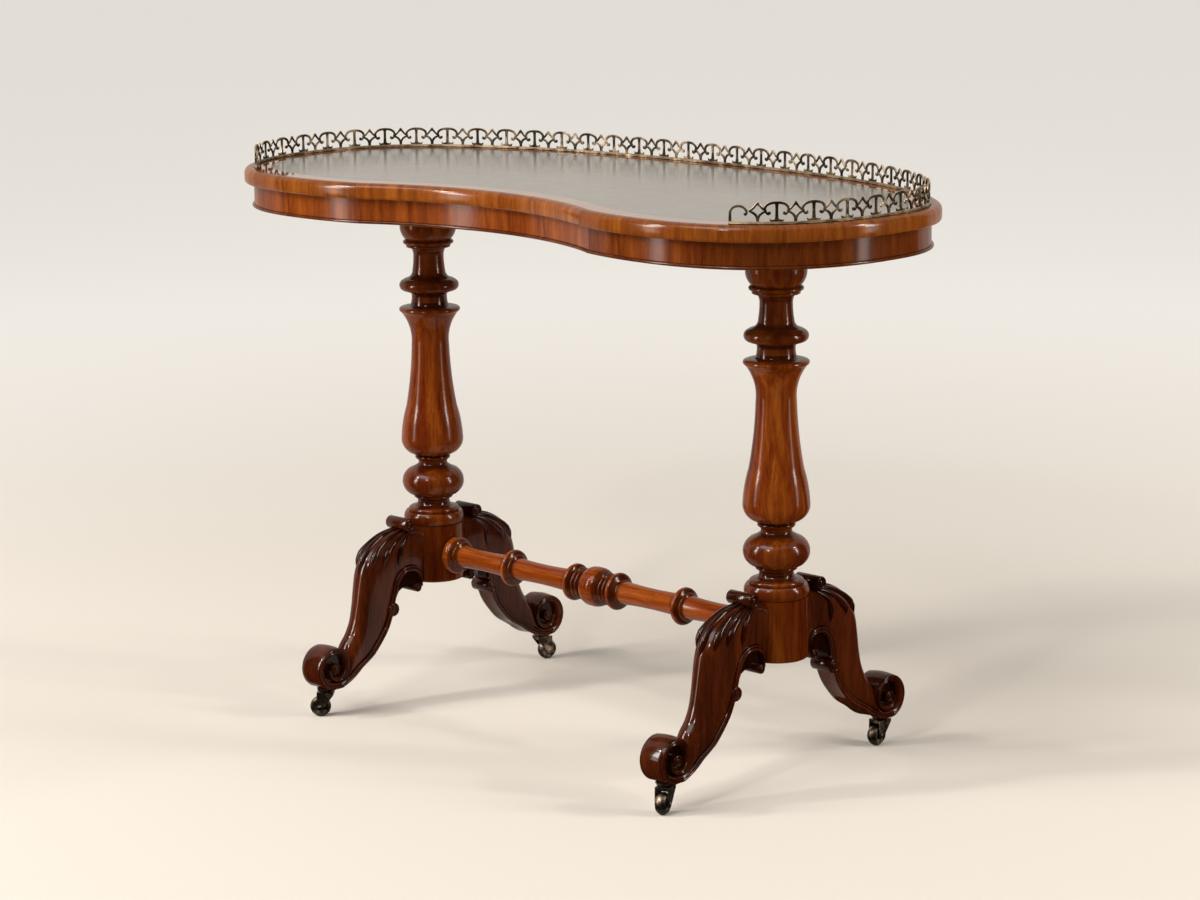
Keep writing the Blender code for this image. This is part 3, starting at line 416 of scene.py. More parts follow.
def moulding(profile, first, last):
    """Grid of the profile carried from one outline point to another, cut back by half a gap."""
    profile = np.asarray(profile, float)
    edges = np.stack([inset(OUTLINE, distance) for distance in profile[:, 0]])
    flat = edges[:, np.arange(first, last + 1) % len(OUTLINE)].transpose(1, 0, 2)
    for end, inner in ((0, 1), (-1, -2)):
        flat[end] += unit(flat[inner] - flat[end]) * GAP / 2
    height = np.broadcast_to(profile[:, 1], flat.shape[:2])
    return np.concatenate([flat, height[..., None]], 2)


def lengths_round(kind, parts, stops, profile, finishes):
    """One piece for each length between two joints, each with the next finish."""
    joints = (*stops, stops[0] + len(OUTLINE))
    for k, part in enumerate(parts):
        shape = Shape().skin(moulding(profile, joints[k], joints[k + 1]))
        shape.make("edge_" + kind + part, finishes[k % len(finishes)], "veneer", (kind + part,))


def veneer(name, tones, shade):
    """Cross grained veneer: the streaks cross the edge, a little lighter or darker in each length."""
    return polished_wood(name, shaded(tones, shade), (1, 0.12, 1), 150, "UV", pores=0.3, film=0.15)


RIM_SHADES = (0.95, 1.05, 0.9)
FRIEZE_SHADES = (0.85, 1.05, 1.45, 1.4, 1.15)
rim_finishes = [veneer("rim_walnut_%d" % k, RIM_TONES, s) for k, s in enumerate(RIM_SHADES)]
frieze_finishes = [veneer("frieze_walnut_%d" % k, FRIEZE_TONES, s) for k, s in enumerate(FRIEZE_SHADES)]
bead_finish = veneer("bead_walnut", FRIEZE_TONES, 0.7)

RIM_WIDTH, RIM_ROUND = 0.012, 0.0075
rim_profile = [(0.0018, BOARD_BOTTOM), (0.0006, BOARD_BOTTOM + 0.0012), (0, BOARD_BOTTOM + 0.004)]
for c, s in ray(np.linspace(0, 90, 8)):
    rim_profile.append((RIM_ROUND * (1 - c), HEIGHT - RIM_ROUND * (1 - s)))
rim_profile += [(RIM_WIDTH, HEIGHT), (RIM_WIDTH, BOARD_BOTTOM)]
sides = ("right", "front", "left", "back")
around_end = (BACK_JOINT, CORNER, len(OUTLINE) - CORNER, len(OUTLINE) - BACK_JOINT)
lengths_round("rim_", sides, around_end, rim_profile, rim_finishes)

low, high = (corner.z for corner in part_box("frieze_front"))
FRIEZE_INSET, FRIEZE_BACK = 0.0125, 0.0285
frieze_profile = [(FRIEZE_INSET, low), (FRIEZE_INSET, high), (FRIEZE_BACK, high), (FRIEZE_BACK, low)]
frieze_stops = (BACK_JOINT, LOBE_JOINT, *around_end[1:3], len(OUTLINE) - LOBE_JOINT, around_end[3])
frieze_parts = ("right_end", "front_right", "front", "front_left", "left_end", "back")
lengths_round("frieze_", frieze_parts, frieze_stops, frieze_profile, frieze_finishes)

low, high = (corner.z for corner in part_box("bead_front"))
BEAD_INSET, BEAD_RADIUS, BEAD_BACK = 0.0115, 0.002, 0.0225
bead_profile = (BEAD_INSET, (low + high) / 2) + BEAD_RADIUS * ray(np.linspace(90, 270, 9))
bead_profile = [*bead_profile, (BEAD_BACK, low), (BEAD_BACK, high)]
lengths_round("bead_", sides, around_end, bead_profile, [bead_finish])
print("joints of the frieze at outline points", frieze_stops)

# %% [markdown]
# Crossbanding and leather
#
# The flat of the top is rings of the same outline, each further in. The band's veneer runs square to
# the edge. The leather's rings stop a hand's width in, and one face fills the middle. U is the
# distance from the leather's edge, so the tooled lines keep their distance from it all round.


# %% Flat of the top
def flat_ring(name, distances, height, thick, material, node, slot, filled):
    """The outline moved in by each distance, above one plate (filled) or above the same rings."""
    edges = np.stack([inset(OUTLINE, distance) for distance in distances])
    rows = np.concatenate([edges, np.full((*edges.shape[:2], 1), height)], 2)
    away, around = np.asarray(distances) - distances[0], run_of(rows, 1)
    shape = Shape()
    if filled:
        shape.skin(np.r_[rows[:1] - (0, 0, thick), rows], lengths=(np.append(0, away), around))
        # The face in the middle lies far from the edge all over, so no line falls on it
        shape.places[-2:] = [np.full((len(OUTLINE), 2), away[-1])] * 2
    else:
        lengths = (np.r_[away, away[::-1], [0]], around)
        shape.skin(np.r_[rows, rows[::-1] - (0, 0, thick)], closed=True, lengths=lengths)
    return shape.make(name, material, slot, (node,), sharp=30)


band_finish = polished_wood("band_walnut", RIM_TONES, (0.1, 1, 1), 60, "UV", film=0.05, polish=1)
BAND_EDGE = RIM_WIDTH + 0.025
band_rings = (RIM_WIDTH + GAP, BAND_EDGE - GAP)
flat_ring("crossband", band_rings, HEIGHT, 0.0013, band_finish, "crossbanding", "veneer", False)
TOOLED_LINES, LINE_WIDTH = (0.006, 0.0078, 0.015), 0.0007
leather_finish = tooled_leather("writing_leather", TOOLED_LINES, LINE_WIDTH)
leather_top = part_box("leather_inset")[1].z
leather_rings = BAND_EDGE + np.linspace(0, 0.04, 21)
flat_ring(
    "writing_leather", leather_rings, leather_top, 0.001, leather_finish, "leather_inset", "leather", True
)
print("leather lies", round((HEIGHT - leather_top) * 1000, 2), "mm below the rim")

# %% [markdown]
# The pierced gallery
#
# The brass gallery is the table's finest piece: round arches on balusters, with lozenges between
# them. It is drawn flat first, as bars along curves in (distance, height), thin plates with eased
# edges whose width changes, so that ends can swell into buds. Then the drawing is bent round the
# table: distance becomes a place on the path, and the plate's thickness goes across it.

# %% Gallery path
GALLERY_INSET = 0.0155
GALLERY_END_X = 0.7993 * HALF_LENGTH
ARCHES = 37
END_SHARE = 0.77
GALLERY_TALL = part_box("gallery_back_left")[1].z - HEIGHT
PLATE, EASE = 0.002, 0.0004


def gallery_path():
    """Centre line from the right front end round the back to the left one, and how far along each point is."""
    right = inset(OUTLINE, GALLERY_INSET)[: CORNER + 1]
    past = int(np.argmax((right[:, 1] < 0) & (right[:, 0] < GALLERY_END_X)))
    a, b = right[past - 1], right[past]
    end = a + (b - a) * (GALLERY_END_X - a[0]) / (b[0] - a[0])
    right = np.r_[right[:past], [end]]
    line = np.r_[right[::-1], right[1:] * (-1, 1)]
    return line, run_of(line[:, None], 0)[:-1]


LINE, PLACES = gallery_path()
TANGENTS = np.gradient(LINE, PLACES, axis=0)
PITCH = PLACES[-1] / (ARCHES + 2 * END_SHARE)


def bend(flat):
    """(distance, across, height) to the room: point on the path + across times its outward normal."""
    s, across, height = np.moveaxis(flat, -1, 0)
    x, y, tx, ty = (np.interp(s, PLACES, column) for column in (*LINE.T, *TANGENTS.T))
    size = np.hypot(tx, ty)
    return np.stack([x + ty / size * across, y - tx / size * across, height], -1)


def bar(path, widths):
    """A flat bar with eased edges: 8 corners square to the path at each point."""
    run = unit(np.gradient(path, axis=0))
    normal = np.c_[-run[:, 1], run[:, 0]]
    half = widths[:, None] / 2
    inner = np.maximum(half - EASE, half * 0.4)
    offset = np.concatenate([inner, half, half, inner, -inner, -half, -half, -inner], 1)
    t, eased = PLATE / 2, PLATE / 2 - EASE
    across = np.array([t, eased, -eased, -t, -t, -eased, eased, t])
    place = path[:, None] + normal[:, None] * offset[..., None]
    return np.stack([place[..., 0], np.broadcast_to(across, offset.shape), place[..., 1]], -1)


print("gallery", round(PLACES[-1], 3), "m long,", round(PITCH * 1000, 1), "mm from arch to arch")

# %% [markdown]
# One bay of the gallery
#
# Every row below is a place across, as a share of the distance from arch to arch, a height, as a
# share of the gallery's, and a width. The other half of each form is its mirror image.

# %% Gallery bays
HALF_ARCH = [
    (0.188, 0.56, 1.4), (0.194, 0.495, 3.3), (0.232, 0.466, 3.4), (0.27, 0.495, 2.3), (0.298, 0.565, 2.2),
    (0.31, 0.65, 2.5), (0.298, 0.745, 2.6), (0.258, 0.828, 2.7), (0.19, 0.892, 2.8), (0.1, 0.926, 2.8),
    (0, 0.935, 2.8),
]
LOZENGE_TOP = np.array([
    (0.268, 0.59, 1.8), (0.325, 0.62, 2.2), (0.385, 0.7, 2.2), (0.44, 0.8, 2.2), (0.5, 0.89, 3),
]) - (0.5, 0, 0)
LOZENGE_ARM = np.array([
    (0.264, 0.59, 1.8), (0.33, 0.54, 2.4), (0.4, 0.475, 2.6), (0.455, 0.39, 2.7), (0.488, 0.26, 2.6),
    (0.497, 0.11, 3),
]) - (0.5, 0, 0)
BALUSTER = [
    (0, 0.93, 6), (0, 0.88, 4.4), (0, 0.8, 3.2), (0, 0.6, 2.9), (0, 0.4, 3.2), (0, 0.27, 3.8), (0, 0.11, 5),
]
FOOT = [(0.185, 0.245, 0.8), (0.16, 0.18, 1.9), (0.11, 0.16, 2.5), (0.05, 0.18, 3), (0, 0.19, 3.2)]
END_POST = [
    (0.036, 0.1, 3), (0.036, 0.35, 2.6), (0.044, 0.54, 2.5), (0.09, 0.68, 2.5), (0.17, 0.765, 2.7),
    (0.27, 0.79, 2.8), (0.37, 0.755, 2.6), (0.44, 0.67, 2.4), (0.474, 0.57, 2.2), (0.476, 0.49, 2.4),
    (0.446, 0.44, 3.5), (0.412, 0.49, 1.2),
]
BAR_UNIT = 0.00118
# Half section of the rail, as (across, up) in millimetres
RAIL_HALF = np.array([(2.5, 0.3), (2.5, 1.2), (2.1, 1.7), (2.1, 2.5), (1.6, 3.2), (1.1, 3.5)])
RAIL_STEP = 0.006


def mirror(points):
    """The half drawing and its mirror image about share 0, as one run."""
    half = np.asarray(points, float)
    return np.r_[half, half[-2::-1] * (-1, 1, 1)]


def drawn(points, place, facing=1, steps=3):
    """A smooth bar from shares: place + share times pitch, and rim + share times height."""
    curve = smooth(points, steps)
    path = np.c_[place + facing * curve[:, 0] * PITCH, HEIGHT + curve[:, 1] * GALLERY_TALL]
    return bend(bar(path, curve[:, 2] * BAR_UNIT))


def knob(place, height, radius=0.002, flat=0.0012):
    """A small flattened ball on the plate: (radius, flat, radius) times a ball of 7 rings."""
    angle = np.linspace(0.15, np.pi - 0.15, 7)
    ball = revolve(np.c_[-np.cos(angle), np.sin(angle)], 10)
    return bend(ball * (radius, flat, radius) + (place, 0, HEIGHT + height * GALLERY_TALL))


def arch_centre(arch):
    """Distance along the gallery of the middle of an arch."""
    return (arch + END_SHARE + 0.5) * PITCH


def gallery_length(name, first, last, finish):
    """The bays between two joints, and their rail. None stands for an end with its post."""
    shape = Shape()
    for end, at, facing in ((first, 0, 1), (last, PLACES[-1], -1)):
        if end is None:
            shape.skin(drawn(END_POST, at, facing))
    arches = range(first or 0, ARCHES if last is None else last)
    for arch in arches:
        for form in (mirror(HALF_ARCH), BALUSTER, mirror(FOOT)):
            shape.skin(drawn(form, arch_centre(arch)))
    for arch in range(arches.start - (first is None), arches.stop):
        between = arch_centre(arch) + PITCH / 2
        shape.skin(drawn(mirror(LOZENGE_TOP), between))
        for facing in (1, -1):
            shape.skin(drawn(LOZENGE_ARM, between, facing))
        shape.skin(knob(between, 0.915))
    start = 0 if first is None else arch_centre(first) + GAP / 2
    stop = PLACES[-1] if last is None else arch_centre(last) - GAP / 2
    section = np.r_[RAIL_HALF[:1] * (-1, 1), RAIL_HALF, RAIL_HALF[:0:-1] * (-1, 1)] / 1000
    s = np.linspace(start, stop, int((stop - start) / RAIL_STEP) + 2)
    rail = np.empty((len(s), len(section), 3))
    rail[..., 0] = s[:, None]
    rail[..., 1:] = section + (0, HEIGHT)
    shape.skin(bend(rail))
    nodes = ("gallery_" + name, "gallery_rail_" + name)
    return shape.make("fretwork_" + name, finish, "gallery_brass", nodes)


gallery_finish = old_brass("gallery_brass", (0.032, 0.023, 0.015), (0.36, 0.27, 0.175), 0.34, 55)
joints = (None, 12, 18, 24, 28, 32, None)
lengths = ("right_end", "back_right", "back_left", "left_back", "left_end", "left_front")
for name, first, last in zip(lengths, joints, joints[1:]):
    piece = gallery_length(name, first, last, gallery_finish)
    print(piece.name, len(piece.data.polygons), "faces")

# %% [markdown]
# Turned columns and stretcher
#
# A turner works from a pattern: the radius at each place along the piece. The tables give each place
# as a share of the length, each radius as a share of the largest and, where the stretch before it is
# bowed, how far it bows out. That becomes an arc, and the whole profile is spun round its axis.

# %% Turning
COLUMN_SHARES = (
    (0, 0.906), (0.036, 0.906, 0.07), (0.036, 0.8), (0.048, 0.78, 0.03), (0.05, 0.7), (0.067, 0.52, -0.06),
    (0.074, 0.52), (0.076, 0.6), (0.083, 0.62, 0.02), (0.17, 0.62, 0.38), (0.174, 0.56), (0.191, 0.48, -0.05),
    (0.195, 0.54), (0.205, 0.54, 0.03), (0.209, 0.6), (0.264, 1, 0.14), (0.355, 0.825, 0.03),
    (0.542, 0.609, -0.04), (0.637, 0.889, -0.1), (0.642, 0.935), (0.655, 0.935, 0.05), (0.659, 0.7),
    (0.664, 0.6, -0.02), (0.69, 0.57, -0.01), (0.702, 0.72, -0.04), (0.706, 0.86), (0.736, 0.86, 0.1),
    (0.74, 0.78), (0.765, 0.53, -0.07), (0.81, 0.49, -0.01), (0.832, 0.56, -0.02), (0.835, 0.7),
    (0.843, 0.7, 0.02), (0.845, 0.78), (0.855, 0.79, 0.03), (0.857, 0.72), (0.906, 0.906, 0.07), (1, 0.906),
)
STRETCHER_SHARES = (
    (0, 1), (0.062, 0.74, 0.1), (0.066, 0.65), (0.07, 0.74), (0.088, 0.74, 0.08), (0.092, 0.65),
    (0.096, 0.74), (0.114, 0.74, 0.08), (0.119, 0.63), (0.126, 0.8), (0.16, 0.8, 0.15), (0.166, 0.66),
    (0.178, 0.59, -0.03), (0.536, 0.57, -0.06), (0.541, 0.68), (0.551, 0.72, 0.02), (0.554, 0.8),
    (0.588, 0.8, 0.15), (0.592, 0.69), (0.606, 0.68, 0.04), (0.612, 0.59), (0.925, 0.59, -0.06), (0.93, 0.72),
    (0.944, 0.74, 0.04), (0.95, 0.86), (1, 0.9, 0.1),
)
COLUMN_RADIUS = 0.0425
STRETCHER_RADIUS = 0.0263
COLUMN_X = 0.5948 * HALF_LENGTH
SIDES = (("left", -COLUMN_X), ("right", COLUMN_X))


def bowed(start, end, bow, steps=14):
    """Points after start on an arc that stands bow off the chord: chord point + rise times its normal."""
    start, end = np.asarray(start), np.asarray(end)
    chord = end - start
    length = np.linalg.norm(chord)
    radius = (length**2 / 4 + bow**2) / (2 * abs(bow))
    share = np.arange(1, steps + 1) / steps
    half = length * (share - 0.5)
    rise = np.sign(bow) * (np.sqrt(np.maximum(radius**2 - half**2, 0)) - (radius - abs(bow)))
    normal = np.array([-chord[1], chord[0]]) / length
    return list(start + share[:, None] * chord + rise[:, None] * normal)


def turning(shares, length, radius):
    """The pattern in metres: (share times length, share times radius), joined by bowed stretches."""
    profile = []
    for along, size, *bow in shares:
        place = (along * length, size * radius)
        profile += bowed(profile[-1], place, bow[0] * radius) if bow else [np.array(place)]
    return np.array(profile)


def groove_shade(profile, reach=0.008):
    """How far each point lies below the fattest point near it, as a share: painted shade for the groove."""
    place, radius = profile.T
    near = np.abs(place[:, None] - place) < reach
    fattest = np.where(near, radius, 0).max(axis=1)
    return ((fattest - radius) / fattest)[:, None]


def turn_piece(node, profile, sides, wood, axis, centre, shade_and_dark_polish=0):
    """The profile spun round its axis stands for the CAD's node."""
    shape = Shape().skin(revolve(profile, sides, axis, centre), shade_and_dark_polish=shade_and_dark_polish)
    shape.make("turned_" + node, wood, "turned_wood", (node,), sharp=28)


column_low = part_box("hub_left")[1].z + GAP
column_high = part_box("bearer_left")[0].z - GAP
column_wood = polished_wood("column_walnut", TURNED_TONES, ALONG_Z, 70, film=0.16, shade_and_dark_polish=0.85)
stretcher_tones = shaded(TURNED_TONES, 1.25)
stretcher_wood = polished_wood("stretcher_walnut", stretcher_tones, ALONG_X, 80, film=0.14, shade_and_dark_polish=0.85)
tall = column_high - column_low
turned = turning(COLUMN_SHARES, tall, COLUMN_RADIUS)
# A tenon at each end, into the hub and into the bearer
pattern = np.r_[[(-0.04, 0.016), (0, 0.016)], turned, [(tall, 0.015), (tall + 0.0177, 0.015)]]
# Painted shade: the rings under the top are darker, as in its shadow, and the ball is darker too
DARKER_PLACES, DARKER_BY = (0, 0.19, 0.24, 0.6, 0.68, 0.8, 1), (0.19, 0.19, 0, 0, 0.23, 0.23, 0.12)
column_painted_shade = np.maximum(groove_shade(pattern), np.interp(pattern[:, :1] / tall, DARKER_PLACES, DARKER_BY))
for side, x in SIDES:
    turn_piece("column_" + side, pattern, 72, column_wood, "Z", (x, 0, column_low), column_painted_shade)

# A hub is a plain drum with a socket for the column's tenon; a pole is a ring of 0.1 mm
HUB_RADIUS, SOCKET_RADIUS, SOCKET_DEEP, POLE = 0.04, 0.0165, 0.0403, 0.0001
hub_low, hub_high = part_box("hub_left")[0].z + 0.01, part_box("hub_left")[1].z
drum = [(hub_low, POLE), (hub_low, HUB_RADIUS - 0.003), (hub_low + 0.0009, HUB_RADIUS - 0.0012)]
drum += [(hub_low + 0.003, HUB_RADIUS), (hub_high, HUB_RADIUS), (hub_high, SOCKET_RADIUS)]
drum += [(hub_high - SOCKET_DEEP, SOCKET_RADIUS), (hub_high - SOCKET_DEEP, POLE)]
hub_wood = polished_wood("hub_walnut", shaded(TURNED_TONES, 0.65), ALONG_Z, 55)
for side, x in SIDES:
    turn_piece("hub_" + side, drum, 72, hub_wood, "Z", (x, 0, 0))

DOWEL_RADIUS, DOWEL_LONG = 0.011, 0.02
stretcher_z = sum(corner.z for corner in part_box("stretcher")) / 2
half = turning(STRETCHER_SHARES, COLUMN_X - HUB_RADIUS - GAP, STRETCHER_RADIUS)
half = np.r_[half, [(half[-1][0], DOWEL_RADIUS), (half[-1][0] + DOWEL_LONG, DOWEL_RADIUS)]]
spindle = np.r_[half[:0:-1] * (-1, 1), half]
# Painted shade in the grooves; the rings themselves get a darker polish
rings = (spindle[:, 1:] > 0.66 * STRETCHER_RADIUS) & (spindle[:, 1:] < 0.93 * STRETCHER_RADIUS)
spindle_shade_and_dark_rings = np.maximum(groove_shade(spindle, 0.006), 0.29 * rings)
turn_piece("stretcher", spindle, 56, stretcher_wood, "X", (0, 0, stretcher_z), spindle_shade_and_dark_rings)
print("points on the patterns of column and stretcher:", len(pattern), len(spindle))

# %% [markdown]
# Pieces that keep their CAD shape
#
# The board, the bearers and the screws are plain inside pieces whose CAD shape is right. They only
# get their finish: pale unpolished wood with stretched grain, and steel with spots of rust.


# %% Finishes for the kept pieces
def refinish(nodes, material):
    """Give CAD pieces a better material on the slots they have."""
    for name in nodes:
        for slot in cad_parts[name].material_slots:
            slot.material = material


CORNERS = ("left_front", "left_back", "right_front", "right_back")
pine = Look("pine_core", Specular_IOR_Level=0.3)
grain = pine.noise(pine.stretched((0.08, 1, 1)), 60, 6, 0.6, 0.6)
colour = pine.node("ValToRGB", {0: grain}, stops=((0.3, (0.17, 0.085, 0.035)), (0.7, (0.3, 0.17, 0.08))))
pine = pine.wear(colour, 0.62 + grain * 0.2, grain, 0.3, 0.0004)
refinish(("top_board", "bearer_left", "bearer_right"), pine)
steel = Look("screw_steel", Metallic=1)
spots = steel.noise(steel.stretched(), 300, 4, 0.6)
colour = steel.node("ValToRGB", {0: spots}, stops=((0.35, (0.1, 0.08, 0.06)), (0.7, (0.34, 0.31, 0.27))))
steel = steel.wear(colour, 0.3 + spots * 0.25, spots, 0.2, 0.0002)
refinish(["screw_" + corner for corner in CORNERS], steel)
print("refinished", 3 + len(CORNERS), "inside pieces")

# %% [markdown]
# Carved legs
#
# A carver saws the leg's outline from a plank, rounds its outer edge, cuts two beads along its inner
# edge and follows them into the scroll of the toe. The mesh does the same. Each station is a line
# from the outer edge to the inner edge, and the same section stands on every station, so the beads
# run unbroken from the arch below the knee, down the leg, and round the volute to its eye.

# %% Leg stations
REACH = HALF_DEPTH - 0.013
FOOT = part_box("leg_left_front")[0].z
LEG_TALL = 0.2
TOE = np.array([0.868 * REACH, FOOT + 0.1425 * LEG_TALL])
# Outer edge along and up, inner edge along and up, as shares, and half the width in millimetres
LEG_STATIONS = (
    (0.13, 1, 0.184, 0.575, 19), (0.165, 1, 0.186, 0.635, 19.3), (0.23, 0.998, 0.212, 0.682, 19.5),
    (0.33, 0.99, 0.262, 0.7, 19.5), (0.43, 0.96, 0.312, 0.688, 19.5), (0.528, 0.895, 0.35, 0.645, 19.3),
    (0.584, 0.815, 0.373, 0.58, 18.8), (0.613, 0.735, 0.386, 0.515, 18.2), (0.632, 0.625, 0.398, 0.448, 17.6),
    (0.649, 0.51, 0.416, 0.382, 17), (0.671, 0.41, 0.444, 0.316, 16.6), (0.706, 0.33, 0.495, 0.24, 16.5),
    (0.744, 0.275, 0.56, 0.165, 16.9),
)
# Round the toe's centre: angle and radius of the outer edge, place of the inner edge, half the width
LEG_TO_TOE = (
    (147, 29, -50, -8.5, 17.4), (162, 25.5, -38.8, -16.5, 17.9), (185, 23.6, -28, -22.7, 18.4),
    (215, 21.4, -17, -27, 19), (245, 19.4, -9.5, -29.2, 19.4),
)
VOLUTE_ANGLES = (-90, 0, 90, 180, 270, 360)
VOLUTE_RADII = (30.3, 30.3, 28.5, 23.5, 17.5, 12)
VOLUTE_BANDS = (12, 11, 9.5, 8, 6.5, 5)
# The two beads, in millimetres in from the side and up from the inner face, and the painted shade in the
# grooves beside them
BEADS = (
    (2.9, 9.3), (2.9, 8.8), (1.4, 8.5), (0.4, 7.6), (0.2, 6.7), (0.8, 5.8), (2.4, 5.3), (2.4, 4.9), (0.8, 4.6),
    (0, 3.4), (0.1, 2.2), (0.9, 0.8), (2.3, 0),
)
BEAD_SHADE = (0.05, 0.5, 0.5, 0.1, 0, 0, 0.05, 0.4, 0.4, 0.05, 0, 0, 0.1, 0.3)


def leg_stations():
    """Rows of outer y, z, inner y, z and half width, in metres; round the toe an angle and a radius."""
    leg = LEG_STATIONS * np.array([REACH, LEG_TALL, REACH, LEG_TALL, 0.001]) + (0, FOOT, 0, FOOT, 0)
    rows = np.array(LEG_TO_TOE)
    outer = TOE + rows[:, 1:2] / 1000 * ray(rows[:, 0])
    toe = np.concatenate([outer, TOE + rows[:, 2:4] / 1000, rows[:, 4:] / 1000], 1)
    return smooth(np.r_[leg, toe], 4)


def volute_stations():
    """Spiral: inner edge at the radius for its angle, outer edge one band further in."""
    angle = np.arange(-80, 361, 10)
    far = np.interp(angle, VOLUTE_ANGLES, VOLUTE_RADII) / 1000
    band = np.interp(angle, VOLUTE_ANGLES, VOLUTE_BANDS) / 1000
    outer, inner = TOE + ray(angle) * (far - band)[:, None], TOE + ray(angle) * far[:, None]
    return np.concatenate([outer, inner, np.full((len(angle), 1), 0.0195)], 1)


def leg_section(thick, half, belly):
    """Half section as (side, depth) from the middle of the crown to the middle of the inner face."""
    crown = np.minimum(0.42 * thick, 0.019)
    k = np.minimum(1, thick / 0.017)
    angle = np.radians(np.linspace(0, 90, 8))[:, None]
    side = [half * np.sin(angle) ** 0.8]
    depth = [crown * (1 - np.cos(angle))]
    panel = np.array([0.33, 0.66, 1])[:, None]
    side.append(half - panel * 0.002 * k)
    depth.append(crown + panel * (thick - 0.0105 * k - crown))
    beads = np.array(BEADS) / 1000
    side.append(half - beads[:, :1] * k)
    depth.append(thick - beads[:, 1:] * k)
    side.append(np.array([0.62, 0.3, 0])[:, None] * half)
    depth.append(thick + np.array([0.5, 0.87, 1])[:, None] * belly * k)
    return np.concatenate(side), np.concatenate(depth)


def leg_grid(leg, volute):
    """The section on every station: (side, outer edge + depth toward the inner edge)."""
    stations = np.r_[leg, volute]
    outer, across, half = stations[:, 0:2], stations[:, 2:4] - stations[:, 0:2], stations[:, 4]
    # The inner face is a little hollow down the leg and swells over the volute's first 16 stations
    belly = np.interp(np.arange(len(stations)), (len(leg) - 1, len(leg) + 15), (-0.0015, 0.003))
    side, depth = leg_section(np.linalg.norm(across, axis=1)[None], half[None], belly[None])
    side = np.r_[side, -side[-2:0:-1]].T
    depth = np.r_[depth, depth[-2:0:-1]].T
    flat = outer[:, None] + unit(across)[:, None] * depth[..., None]
    grid = np.concatenate([side[..., None], flat], 2)
    grid[..., 2] = np.maximum(grid[..., 2], FOOT + 0.0002)
    return grid


LEG = leg_grid(leg_stations(), volute_stations())
# The painted shade by the beads lies between 10 unshaded points and 3 unshaded ones
leg_painted_shade = np.pad(BEAD_SHADE, (10, 3))
leg_painted_shade = np.r_[leg_painted_shade, leg_painted_shade[-2:0:-1]]
print("leg", LEG.shape, "stations by points")

# %% [markdown]
# Rolls, hollow and leaf
#
# The smaller carving stands on the leg: rolls over the knee and at the end of the arch, a near-black
# plate between arch and hub and a near-black disc inside the volute, both painted shade in the
# hollows, a nub on the inner edge, and an acanthus leaf, darker than the leg as painted shade for its
# grooves. Each lobe of the leaf is a ridge whose centre line is drawn on the leg's own grid, so it
# lies on the wood whatever the leg's shape.

# %% Leg carving
# End of a roll, as shares: how far past the roll's end, and radius, from the middle outward
ROLL_END = (
    (0.02, 0.01), (0.02, 0.25), (-0.01, 0.42), (-0.07, 0.5), (-0.07, 0.62), (0, 0.7), (0.02, 0.8),
    (0, 0.93), (-0.06, 1),
)
# Outline of the dark plate behind the arch, painted shade in the hollow, as shares along and up
HOLLOW = (
    (0.4, 0.52), (0.385, 0.61), (0.34, 0.69), (0.27, 0.72), (0.2, 0.7), (0.15, 0.64), (0.15, 0.57),
    (0.2, 0.56), (0.255, 0.585), (0.31, 0.592), (0.345, 0.57), (0.37, 0.52),
)
WEB_HALF, DISC_HALF, DISC_RADIUS = 0.0125, 0.01, 0.0215
# Lobes: end along the leg, places round the section at start, middle and end, radius in millimetres
LEAF = ((28, 0, 0, 0, 4.8), (25, 1, 2.8, 4, 4.6), (21.5, 2, 5, 7.4, 4.3), (17, 2.9, 6.6, 9.4, 3.7))
LEAF_START = 9
LOBE_PLACES, LOBE_SIZES = (0, 0.35, 0.6, 0.75, 0.88, 1), (0.5, 0.75, 0.9, 1.2, 0.95, 0.08)


def at_toe(share_y, share_z):
    """The point in the leg's plane at these shares of its reach and its height."""
    return np.array([0, share_y * REACH, FOOT + share_z * LEG_TALL])


def roll(centre, radius, half, sides):
    """A round bar across the leg; its ends are ROLL_END times (half, radius), past half."""
    end = np.array(ROLL_END)[::-1] * (half, radius) + (half, 0)
    return revolve(np.r_[end[::-1] * (-1, 1), end], sides, "X", centre)


def on_leg(rows, places):
    """Points of the leg's skin at fractional rows and places, mixed from the four points round each."""
    row, place = np.floor(rows).astype(int), np.floor(places).astype(int)
    r, p = (rows - row)[:, None], (places - place)[:, None]
    edges = [(place + step) % LEG.shape[1] for step in (0, 1)]
    near, far = (LEG[row, edge] * (1 - r) + LEG[row + 1, edge] * r for edge in edges)
    return near * (1 - p) + far * p


def tube(path, radius, corners=8):
    """A round bar along a path: ring = point + radius (cos side + sin up), side across the leg."""
    run = unit(np.gradient(path, axis=0))
    up = unit(np.cross(run, (1, 0, 0)))
    angle = np.linspace(0, 2 * np.pi, corners, endpoint=False)[:, None]
    ring = np.cross(up, run)[:, None] * np.cos(angle) + up[:, None] * np.sin(angle)
    return path[:, None] + radius[:, None, None] * ring


def lobe(last, start, middle, end, radius, side):
    """A ridge from under the roll to the tip, widest just before it, along a quadratic curve."""
    t = np.linspace(0, 1, 17)
    rows = LEAF_START + (last - LEAF_START) * t
    place = start * (1 - t) ** 2 + 2 * middle * t * (1 - t) + end * t**2
    return tube(on_leg(rows, side * place), radius / 1000 * np.interp(t, LOBE_PLACES, LOBE_SIZES))


leg_wood = polished_wood("leg_mahogany", LEG_TONES, (1, 1, 0.1), 55, pores=0.6, film=0.12, shade_and_dark_polish=0.9)
